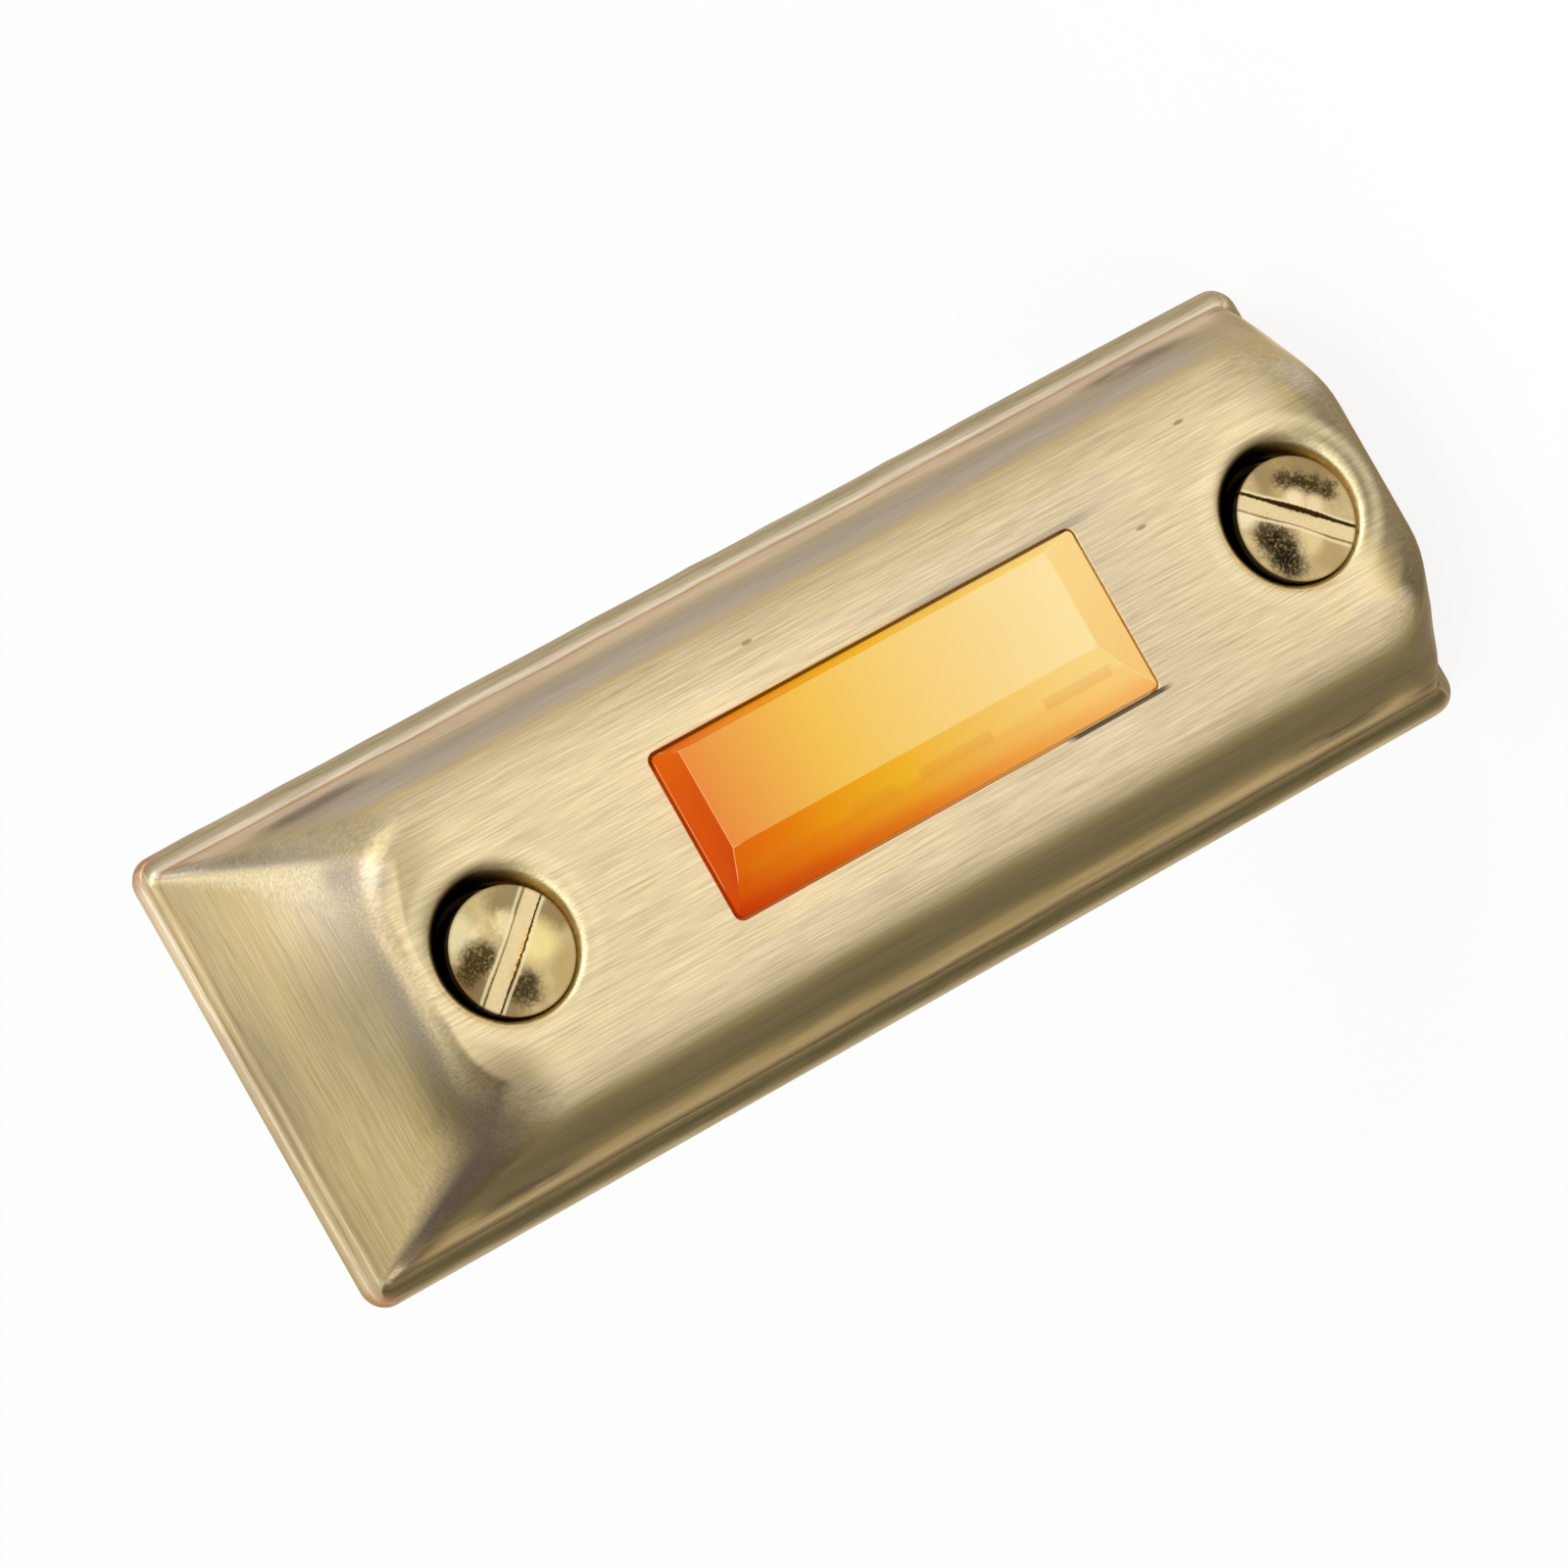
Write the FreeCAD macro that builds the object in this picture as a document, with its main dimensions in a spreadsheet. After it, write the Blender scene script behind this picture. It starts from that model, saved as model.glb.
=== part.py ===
"""Lighted doorbell push button, as it hangs on a wall.

The wall is the plane y = 0 and the front faces -Y. +Z runs up along the plate's length and X across it.
The origin is the middle of the plate's back. A depth is a distance from the wall towards the front,
so a point at depth d has y = -d. Lengths are millimetres.
"""

import FreeCAD, Part
import os
import re

import Sketcher
from FreeCAD import Placement, Rotation, Vector
from math import atan2, pi

doc = FreeCAD.newDocument("doorbell_push")

# Driving sizes: name, value, what it is
SIZES = [
    ("plate_length", 70.0, "cover, overall height on the wall"),
    ("plate_width", 25.5, "cover, overall width"),
    ("plate_height", 14.0, "wall to the cover's flat front"),
    ("sheet", 0.9, "thickness of the pressed brass"),
    ("lip_corner", 1.4, "corner radius of the lip"),
    ("lip_edge", 0.3, "bevel of the lip's front edge"),
    ("side_foot_inset", 1.0, "lip edge to the foot of a long wall"),
    ("end_foot_inset", 0.75, "lip edge to the foot of an end wall"),
    ("side_lean", 3.25, "how far the long walls lean in"),
    ("end_lean", 3.7, "how far the end walls lean in"),
    ("foot_corner", 0.6, "plan radius of the wall's corners at the foot"),
    ("ridge_corner", 3.6, "plan radius of the wall's corners at the ridge"),
    ("ridge_round", 1.8, "radius between the walls and the flat front"),
    ("cove_round", 0.5, "radius between the lip and the walls"),
    ("window_width", 9.4, "window for the push bar, across"),
    ("window_length", 26.65, "window for the push bar, along"),
    ("window_corner", 0.9, "corner radius of the window"),
    ("screw_from_end", 10.3, "mounting screws, from the cover's end"),
    ("screw_shift", 0.5, "how far the screws sit to the left in their holes"),
    ("screw_hole", 2.35, "radius of the screw holes"),
    ("well_radius", 3.95, "inside radius of a screw well"),
    ("well_depth", 2.1, "depth of a screw well"),
    ("hollow_corner", 2.3, "radius of the hollow's upright corners"),
    ("well_lip", 0.4, "bevel of a well's rim"),
    ("bar_gap", 0.15, "gap between push bar and window"),
    ("bar_rise", 0.9, "push bar's top above the cover's front"),
    ("bar_right_bevel", 0.43, "width of the bevel along the bar's right side"),
    ("bar_left_slope", 3.22, "left edge of the bar's top, from the bar's side"),
    ("bar_left_bevel", 1.72, "width of the steeper bevel along the bar's left side"),
    ("bar_bevel_rise", 0.55, "top of the steeper bevel above the cover's front"),
    ("bar_foot_rise", 0.05, "foot of the facets above the cover's front"),
    ("bar_upper_bevel", 1.125, "width of the bevel at the bar's upper end"),
    ("bar_lower_bevel", 2.275, "width of the bevel at the bar's lower end"),
    ("bar_wall", 1.25, "side walls of the hollow push bar"),
    ("bar_roof", 1.7, "thickness behind the bar's top"),
    ("flange_reach", 1.0, "how far the bar's flange reaches past it"),
    ("flange_thick", 1.0, "thickness of the bar's flange"),
    ("flange_gap", 0.1, "gap between flange and cover at rest"),
    ("travel", 1.0, "stroke of the push bar"),
    ("stop_gap", 0.05, "what is left at the stops at full stroke"),
    ("base_gap", 0.15, "gap between base and cover"),
    ("base_wall", 1.2, "side walls of the base"),
    ("base_corner", 2.5, "radius of the base's upright corners"),
    ("bay_corner", 0.8, "radius of the wiring bay's upright corners"),
    ("bay_depth", 5.0, "depth of the wiring bay"),
    ("floor_thick", 1.5, "floor of the base"),
    ("boss_radius", 3.4, "outside radius of the screw bosses"),
    ("guide_wall", 1.1, "walls of the guide box"),
    ("guide_gap", 0.3, "gap between flange and guide box"),
    ("guide_top_gap", 0.6, "gap between guide box and cover"),
    ("guide_corner", 1.0, "inside corner radius of the guide box"),
    ("ledge", 1.15, "reach of the stop ledges in the guide box"),
    ("web_thick", 1.8, "cross web that carries the bridge"),
    ("pin_radius", 0.6, "staking pins of the bridge"),
    ("pin_gap", 0.03, "gap round a staking pin"),
    ("pin_place", 1.8, "staking pins, from the middle"),
    ("pin_head_radius", 0.95, "staked heads, radius"),
    ("pin_head_thick", 0.4, "staked heads, thickness"),
    ("bridge_thick", 0.5, "contact bridge, thickness"),
    ("bridge_half", 5.2, "contact bridge, half its length"),
    ("bridge_width", 2.5, "contact bridge, width"),
    ("bridge_corner", 0.6, "contact bridge, corner radius"),
    ("contact_place", 4.1, "contacts, from the middle line"),
    ("contact_radius", 1.1, "contact rivets, radius"),
    ("contact_height", 1.0, "contact rivets, height above the strip"),
    ("contact_side", 0.7, "contact rivets, height of their side"),
    ("strip_thick", 0.5, "contact strips, thickness"),
    ("strip_width", 2.4, "contact strips, width"),
    ("strip_eye", 2.3, "contact strips, radius of the eye"),
    ("strip_gap", 0.15, "gap round a strip in its slot"),
    ("terminal_gap", 0.3, "gap between a terminal and the walls beside it"),
    ("bush_radius", 1.7, "terminal bushes, outside radius"),
    ("bush_bore", 1.25, "terminal bushes, bore radius"),
    ("bush_gap", 0.02, "gap round a bush in the base"),
    ("bush_flange", 2.1, "terminal bushes, radius of the flange"),
    ("bush_flange_thick", 0.4, "terminal bushes, thickness of the flange"),
    ("bush_rim", 2.0, "terminal bushes, radius of the turned rim"),
    ("bush_rim_thick", 0.3, "terminal bushes, thickness of the turned rim"),
    ("washer_radius", 2.4, "terminal washers, radius"),
    ("washer_bore", 1.35, "terminal washers, bore radius"),
    ("washer_thick", 0.5, "terminal washers, thickness"),
    ("terminal_head", 2.2, "terminal screws, head radius"),
    ("terminal_head_height", 1.6, "terminal screws, head height"),
    ("terminal_head_side", 1.1, "terminal screws, height of the head's side"),
    ("terminal_shank", 1.2, "terminal screws, shank radius"),
    ("terminal_length", 4.2, "terminal screws, shank length"),
    ("terminal_slot", 0.8, "terminal screws, slot width and depth"),
    ("spring_from_end", 2.025, "return springs, from the end of the bar's hollow"),
    ("spring_radius", 1.6, "return springs, mean radius of the coil"),
    ("spring_wire", 0.36, "return springs, thickness of the square wire"),
    ("spring_gap", 0.03, "return springs, gap at each seat"),
    ("spring_dead_pitch", 0.4, "return springs, pitch of the closed end turns"),
    ("spring_turns", 4.0, "return springs, open turns"),
    ("post_radius", 1.0, "posts inside the springs, radius"),
    ("post_height", 1.4, "posts inside the springs, height"),
    ("board_half_width", 2.6, "circuit board, half its width"),
    ("board_end_gap", 0.22, "gap between the circuit board and a return spring"),
    ("board_corner", 0.4, "circuit board, corner radius"),
    ("board_thick", 0.8, "circuit board, thickness"),
    ("lamp_radius", 1.5, "lamps, radius"),
    ("lamp_side", 2.7, "lamps, height of the side"),
    ("lamp_height", 4.2, "lamps, height above the board"),
    ("lamp_rim", 1.85, "lamps, rim radius"),
    ("lamp_rim_thick", 0.9, "lamps, rim thickness"),
    ("axial_place", 2.45, "resistor and diode, from the middle"),
    ("axial_radius", 0.6, "resistor and diode, radius"),
    ("axial_waist", 0.48, "resistor and diode, radius between the ends"),
    ("axial_half", 1.1, "resistor and diode, half the body's length"),
    ("axial_end", 0.4, "resistor and diode, length of the thick ends"),
    ("axial_lead_half", 1.7, "resistor and diode, half the span of the leads"),
    ("axial_lift", 0.05, "resistor and diode, gap under the body"),
    ("lead_radius", 0.2, "leads and jumpers, radius"),
    ("jumper_from_end", 0.4, "jumpers, from the end of the board"),
    ("jumper_board_end", 2.3, "jumpers, end on the board, from the middle line"),
    ("jumper_strip_end", 3.4, "jumpers, end on the strip, from the middle line"),
    ("jumper_rise", 0.9, "jumpers, height above the board"),
    ("head_radius", 3.3, "mounting screws, head radius"),
    ("head_side", 1.8, "mounting screws, height of the head's side"),
    ("head_height", 2.6, "mounting screws, height of the head"),
    ("head_slot_width", 1.0, "mounting screws, slot width"),
    ("head_slot_depth", 1.3, "mounting screws, slot depth below the crown"),
    ("shank_radius", 1.6, "mounting screws, radius of the plain shank"),
    ("thread_radius", 1.75, "mounting screws, radius of the thread"),
    ("thread_length", 11.0, "mounting screws, thread beyond the wall plane"),
    ("point_length", 3.0, "mounting screws, length of the point"),
    ("point_radius", 0.3, "mounting screws, radius at the tip"),
    ("slot_turn_upper", -40.0, "turn of the upper mounting screw's slot, degrees"),
    ("slot_turn_lower", 42.0, "turn of the lower mounting screw's slot, degrees"),
]

sheet = doc.addObject("Spreadsheet::Sheet", "dim")
for row, (alias, value, meaning) in enumerate(SIZES, start=1):
    sheet.set(f"A{row}", meaning)
    sheet.set(f"B{row}", str(value))
    sheet.setAlias(f"B{row}", alias)
doc.recompute()

# Levels that several pieces share, as depths in front of the wall
FRONT = "dim.plate_height"
SHEET_BACK = "(dim.plate_height - dim.sheet)"
WELL_FLOOR = "(dim.plate_height - dim.well_depth)"
WELL_BACK = f"({WELL_FLOOR} - dim.sheet)"
FLOOR_FRONT = "(dim.bay_depth + dim.floor_thick)"
STRIP_FRONT = f"({FLOOR_FRONT} + dim.strip_thick)"
CONTACT_TOP = f"({STRIP_FRONT} + dim.contact_height)"
BOARD_FRONT = f"({FLOOR_FRONT} + dim.board_thick)"
FLANGE_FRONT = f"({SHEET_BACK} - dim.flange_gap)"
FLANGE_BACK = f"({FLANGE_FRONT} - dim.flange_thick)"
BAR_TOP = "(dim.plate_height + dim.bar_rise)"
BAR_ROOF = f"({BAR_TOP} - dim.bar_roof)"
BRIDGE_BACK = f"({CONTACT_TOP} + dim.travel + dim.stop_gap)"
BRIDGE_FRONT = f"({BRIDGE_BACK} + dim.bridge_thick)"
STOP = f"({FLANGE_BACK} - dim.travel - dim.stop_gap)"
GUIDE_FRONT = f"({SHEET_BACK} - dim.guide_top_gap)"
BUSH_BACK = "(dim.bay_depth - dim.bush_flange_thick)"
WASHER_BACK = f"({BUSH_BACK} - dim.washer_thick)"

# Plan sizes that several pieces share
SCREW = "(dim.plate_length / 2 - dim.screw_from_end)"
BAR_HALF_WIDTH = "(dim.window_width / 2 - dim.bar_gap)"
BAR_HALF_LENGTH = "(dim.window_length / 2 - dim.bar_gap)"
BAR_CORNER = "(dim.window_corner - dim.bar_gap)"
HOLLOW_HALF_WIDTH = f"({BAR_HALF_WIDTH} - dim.bar_wall)"
HOLLOW_HALF_LENGTH = f"({BAR_HALF_LENGTH} - dim.bar_wall)"
FLANGE_HALF_WIDTH = f"({BAR_HALF_WIDTH} + dim.flange_reach)"
FLANGE_HALF_LENGTH = f"({BAR_HALF_LENGTH} + dim.flange_reach)"
GUIDE_HALF_WIDTH = f"({FLANGE_HALF_WIDTH} + dim.guide_gap)"
GUIDE_HALF_LENGTH = f"({FLANGE_HALF_LENGTH} + dim.guide_gap)"
SPRING = f"({HOLLOW_HALF_LENGTH} - dim.spring_from_end)"
SPRING_NEAR_SIDE = f"({SPRING} - dim.spring_radius - dim.spring_wire / 2)"
BOARD_HALF_LENGTH = f"({SPRING_NEAR_SIDE} - dim.board_end_gap)"
LAMP = f"((dim.axial_place + dim.axial_radius + {SPRING_NEAR_SIDE}) / 2)"
TERMINAL = f"({GUIDE_HALF_LENGTH} + dim.guide_wall + dim.strip_eye + dim.terminal_gap)"
TRAY_INSET = "(dim.sheet + dim.base_gap)"
BAY_INSET = f"({TRAY_INSET} + dim.base_wall)"

# A pair's two ends: name, and which way each one lies from the middle.
# The lower one of a pair is the upper one turned half round.
ENDS = (("upper", 1), ("lower", -1))
HALF_TURN = 180.0

# A cut that opens into free space runs this far past the surface
CLEAR = "1"


def number(text):
    """The value of an expression in the driving sizes."""
    plain = re.sub(r"dim\.(\w+)", lambda found: str(sheet.get(found.group(1))), text)
    return FreeCAD.Units.parseQuantity(plain).Value


def lean_at(depth, lean):
    """How far a wall with this lean has come in at a depth."""
    return f"dim.{lean} * ({depth} - dim.sheet) / ({FRONT} - dim.sheet)"


def wall_half_width(depth, inset="0"):
    """Half the distance between the cover's long walls at a depth, less an inset."""
    return f"dim.plate_width / 2 - dim.side_foot_inset - {lean_at(depth, 'side_lean')} - ({inset})"


def wall_half_length(depth, inset="0"):
    """Half the distance between the cover's end walls at a depth, less an inset."""
    return f"dim.plate_length / 2 - dim.end_foot_inset - {lean_at(depth, 'end_lean')} - ({inset})"


def minus(text):
    return f"-1 * ({text})"


# Across, a terminal stands as near to the side wall as its washer lets it
TERMINAL_SIDE = f"({wall_half_width('dim.bay_depth', BAY_INSET)} - dim.washer_radius - dim.terminal_gap)"


def measure(sketch, kind, where, text):
    """Add a constraint whose value follows the sizes."""
    index = sketch.addConstraint(Sketcher.Constraint(kind, *where, number(text)))
    sketch.setExpression(f"Constraints[{index}]", text)


def circle(sketch, radius, x="0", z="0"):
    """A circle about a point given as expressions."""
    centre = Vector(number(x), number(z), 0)
    index = sketch.addGeometry(Part.Circle(centre, Vector(0, 0, 1), number(radius)))
    measure(sketch, "Radius", (index,), radius)
    measure(sketch, "DistanceX", (-1, 1, index, 3), x)
    measure(sketch, "DistanceY", (-1, 1, index, 3), z)


def rounded_rectangle(sketch, half_width, half_length, corner, x="0", z="0"):
    """A rectangle with four equal corner arcs, joined by tangent lines."""
    radius = number(corner)
    reach_x = number(half_width) - radius
    reach_z = number(half_length) - radius
    middle = Vector(number(x), number(z), 0)
    arcs = []
    for quarter, (side, up) in enumerate(((1, 1), (-1, 1), (-1, -1), (1, -1))):
        centre = middle + Vector(side * reach_x, up * reach_z, 0)
        round_corner = Part.Circle(centre, Vector(0, 0, 1), radius)
        start = quarter * pi / 2
        arcs.append(sketch.addGeometry(Part.ArcOfCircle(round_corner, start, start + pi / 2)))
    lines = []
    for first, second in zip(arcs, arcs[1:] + arcs[:1]):
        start = sketch.Geometry[first].EndPoint
        end = sketch.Geometry[second].StartPoint
        line = sketch.addGeometry(Part.LineSegment(start, end))
        sketch.addConstraint(Sketcher.Constraint("Tangent", first, 2, line, 1))
        sketch.addConstraint(Sketcher.Constraint("Tangent", line, 2, second, 1))
        lines.append(line)
    top, left, bottom, right = lines
    for line in (top, bottom):
        sketch.addConstraint(Sketcher.Constraint("Horizontal", line))
    for line in (left, right):
        sketch.addConstraint(Sketcher.Constraint("Vertical", line))
    for arc in arcs[1:]:
        sketch.addConstraint(Sketcher.Constraint("Equal", arcs[0], arc))
    measure(sketch, "Radius", (arcs[0],), corner)
    measure(sketch, "DistanceX", (-1, 1, right, 1), f"{x} + ({half_width})")
    measure(sketch, "DistanceX", (-1, 1, left, 1), f"{x} - ({half_width})")
    measure(sketch, "DistanceY", (-1, 1, top, 1), f"{z} + ({half_length})")
    measure(sketch, "DistanceY", (-1, 1, bottom, 1), f"{z} - ({half_length})")


def outline(sketch, points, crowned=False):
    """A closed outline through points given as expressions.

    With crowned, the side to the last point is an arc centred on the Y axis, bulging towards -Y.
    """
    spots = [Vector(number(x), number(y), 0) for x, y in points]
    sides = []
    for start, end in zip(spots, spots[1:] + spots[:1]):
        sides.append(Part.LineSegment(start, end))
    ends = [(1, 2)] * len(points)
    if crowned:
        sides[-2] = crown_arc(spots[-2], spots[-1])
        ends[-2] = (2, 1)
    sides = [sketch.addGeometry(side) for side in sides]
    for index, (x, y) in enumerate(points):
        before = (sides[index - 1], ends[index - 1][1])
        after = (sides[index], ends[index][0])
        sketch.addConstraint(Sketcher.Constraint("Coincident", *before, *after))
        measure(sketch, "DistanceX", (-1, 1, *after), x)
        measure(sketch, "DistanceY", (-1, 1, *after), y)
    if crowned:
        sketch.addConstraint(Sketcher.Constraint("PointOnObject", sides[-2], 3, -2))


def crown_arc(edge, apex):
    """The arc from the apex on the Y axis round to the edge."""
    height = edge.y - apex.y
    radius = (edge.x**2 + height**2) / (2 * height)
    centre = apex + Vector(0, radius, 0)
    reach = edge - centre
    whole = Part.Circle(centre, Vector(0, 0, 1), radius)
    return Part.ArcOfCircle(whole, -pi / 2, atan2(reach.y, reach.x))


def rectangle(sketch, half_width, half_length, x="0", z="0"):
    """A rectangle about a point given as expressions."""
    left, right = f"{x} - ({half_width})", f"{x} + ({half_width})"
    low, high = f"{z} - ({half_length})", f"{z} + ({half_length})"
    outline(sketch, [(left, low), (right, low), (right, high), (left, high)])


def corner_sliver(sketch, side, way, half_width, half_length, corner):
    """The outline between a rectangle's corner and its rounding, reaching past the rectangle."""
    radius = number(corner)
    tangent_x = f"{side} * ({half_width} - ({corner}))"
    tangent_z = f"{way} * ({half_length} - ({corner}))"
    edge_x = f"{side} * ({half_width})"
    edge_z = f"{way} * ({half_length})"
    past_x = f"{side} * ({half_width} + {CLEAR})"
    past_z = f"{way} * ({half_length} + {CLEAR})"
    points = [
        (edge_x, tangent_z),
        (past_x, tangent_z),
        (past_x, past_z),
        (tangent_x, past_z),
        (tangent_x, edge_z),
    ]
    open_path(sketch, points)
    centre = Vector(number(tangent_x), number(tangent_z), 0)
    whole = Part.Circle(centre, Vector(0, 0, 1), radius)
    middle_of_arc = atan2(way, side)
    start = middle_of_arc - pi / 4
    arc = sketch.addGeometry(Part.ArcOfCircle(whole, start, start + pi / 2))
    at_side, at_end = ((1, 2) if side == way else (2, 1))
    sketch.addConstraint(Sketcher.Constraint("Coincident", arc, at_side, 0, 1))
    sketch.addConstraint(Sketcher.Constraint("Coincident", arc, at_end, len(points) - 2, 2))
    measure(sketch, "Radius", (arc,), corner)


def open_path(sketch, points):
    """Straight runs through points given as expressions."""
    spots = [Vector(number(x), number(y), 0) for x, y in points]
    for run, (start, end) in enumerate(zip(spots, spots[1:])):
        sketch.addGeometry(Part.LineSegment(start, end))
        if run:
            sketch.addConstraint(Sketcher.Constraint("Coincident", run - 1, 2, run, 1))
    for index, (x, y) in enumerate(points):
        where = (index, 1) if index < len(points) - 1 else (index - 1, 2)
        measure(sketch, "DistanceX", (-1, 1, *where), x)
        measure(sketch, "DistanceY", (-1, 1, *where), y)


class Piece:
    """One body, and the kinds of feature that the pieces are made with."""

    def __init__(self, label, x="0", y="0", z="0", turn=0.0):
        self.label = label
        self.body = doc.addObject("PartDesign::Body", label)
        self.body.Label = label
        self.body.Placement = Placement(Vector(), Rotation(Vector(0, 1, 0), turn))
        for axis, text in (("x", x), ("y", y), ("z", z)):
            self.body.setExpression(f"Placement.Base.{axis}", text)

    def origin_plane(self, role):
        return next(p for p in self.body.Origin.OriginFeatures if p.Role == role)

    def sketch(self, what, depth="0", plane="XZ_Plane"):
        """A sketch on one of the body's planes. On XZ_Plane its offset is a depth."""
        sketch = self.body.newObject("Sketcher::SketchObject", f"{self.label}_{what}")
        sketch.AttachmentSupport = (self.origin_plane(plane), "")
        sketch.MapMode = "FlatFace"
        sketch.setExpression("AttachmentOffset.Base.z", depth)
        return sketch

    def feature(self, kind, what):
        return self.body.newObject(f"PartDesign::{kind}", f"{self.label}_{what}")

    def pad(self, sketch, length):
        """Add material from the sketch towards the front."""
        feature = self.feature("Pad", "pad")
        feature.Profile = sketch
        feature.setExpression("Length", length)
        return feature

    def pocket(self, sketch, length, to_front=False):
        """Cut from the sketch towards the wall, or towards the front."""
        feature = self.feature("Pocket", "pocket")
        feature.Profile = sketch
        feature.Reversed = to_front
        feature.setExpression("Length", length)
        return feature

    def cut_through(self, sketch):
        """Cut both ways from the sketch, through everything."""
        feature = self.feature("Pocket", "cut")
        feature.Profile = sketch
        feature.SideType = "Symmetric"
        feature.Type = "ThroughAll"
        return feature

    def loft(self, kind, first, second):
        """AdditiveLoft or SubtractiveLoft with straight walls between two sketches."""
        feature = self.feature(kind, "walls")
        feature.Profile = first
        feature.Sections = [second]
        feature.Ruled = True
        doc.recompute()
        return feature

    def fillet(self, feature, edges, radius):
        """Round the named edges of a feature."""
        round_off = self.feature("Fillet", "fillet")
        round_off.Base = (feature, edges)
        round_off.setExpression("Radius", radius)
        doc.recompute()
        return round_off

    def cut_away(self, tool):
        """Take another body's shape out of this one."""
        feature = self.feature("Boolean", "cut_away")
        feature.setObjects([tool.body])
        feature.Type = "Cut"
        doc.recompute()
        return feature

    def chamfer(self, feature, edges, size):
        """Bevel the named edges of a feature."""
        bevel = self.feature("Chamfer", "chamfer")
        bevel.Base = (feature, edges)
        bevel.setExpression("Size", size)
        doc.recompute()
        return bevel

    def revolve(self, sketch, axis="V_Axis"):
        """Turn the sketch round one of its own axes."""
        feature = self.feature("Revolution", "turned")
        feature.Profile = sketch
        feature.ReferenceAxis = (sketch, [axis])
        feature.Angle = 360
        return feature

    def turned(self, points, crowned=False):
        """A turned form about the body's Y axis, from a half section of (radius, y) points."""
        section = self.sketch("section", plane="XY_Plane")
        outline(section, points, crowned)
        return self.revolve(section)

    def wire(self, half, left_foot, right_foot):
        """A round wire bent as a staple in the body's XY plane, with its span along y = 0."""
        path = self.sketch("path", plane="XY_Plane")
        open_path(path, [(minus(half), left_foot), (minus(half), "0"), (half, "0"), (half, right_foot)])
        end = self.sketch("wire_end", depth=minus(left_foot))
        circle(end, "dim.lead_radius", minus(half))
        feature = self.feature("AdditivePipe", "wire")
        feature.Profile = end
        feature.Spine = path
        feature.Transition = "Right corner"
        return feature


def edges_at_depth(feature, depth, picked=None):
    """Names of the feature's edges that lie at a depth, and that the test named picked lets through."""
    level = -number(depth)
    names = []
    for index, edge in enumerate(feature.Shape.Edges, start=1):
        box = edge.BoundBox
        flat = abs(box.YMin - level) < 1e-4 and abs(box.YMax - level) < 1e-4
        if flat and (picked is None or picked(box)):
            names.append(f"Edge{index}")
    return names


def slanted_edges(feature):
    """Names of the feature's edges that run slantwise to all three axes, as its hips do."""
    names = []
    for index, edge in enumerate(feature.Shape.Edges, start=1):
        box = edge.BoundBox
        if min(box.XLength, box.YLength, box.ZLength) > 0.1:
            names.append(f"Edge{index}")
    return names


def leaning_block(piece, low, high, inset):
    """A block between two depths with four flat walls, parallel to the cover's and set in from them."""
    block = piece.sketch("block", low)
    rectangle(block, wall_half_width(low, inset), wall_half_length(low, inset))
    feature = piece.pad(block, f"{high} - {low}")
    foot = minus(low)
    head = minus(high)
    above = minus(f"{high} + {CLEAR}")
    for plane, half_span in (("XY_Plane", wall_half_width), ("YZ_Plane", wall_half_length)):
        for way in (1, -1):
            at_foot = f"{way} * ({half_span(low, inset)})"
            at_head = f"{way} * ({half_span(high, inset)})"
            beside = f"{way} * ({half_span(low, inset)} + {CLEAR})"
            points = [(at_foot, foot), (at_head, head), (at_head, above), (beside, above), (beside, foot)]
            if plane == "YZ_Plane":
                points = [(y, across) for across, y in points]
            outside = piece.sketch("outside", plane=plane)
            outline(outside, points)
            feature = piece.cut_through(outside)
    doc.recompute()
    return feature


def round_hip(cover, side, way):
    """Round off one hip of the cover, from a small radius at the foot to a large one at the ridge.

    side and way are 1 or -1: which way the hip lies from the middle, across and along.
    """
    ends = []
    for level, depth, corner in (
        ("foot", "dim.sheet", "dim.foot_corner"),
        ("ridge", FRONT, "dim.ridge_corner"),
    ):
        sliver = cover.sketch(f"hip_{level}", depth)
        corner_sliver(sliver, side, way, wall_half_width(depth), wall_half_length(depth), corner)
        ends.append(sliver)
    return cover.loft("SubtractiveLoft", *ends)


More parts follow.
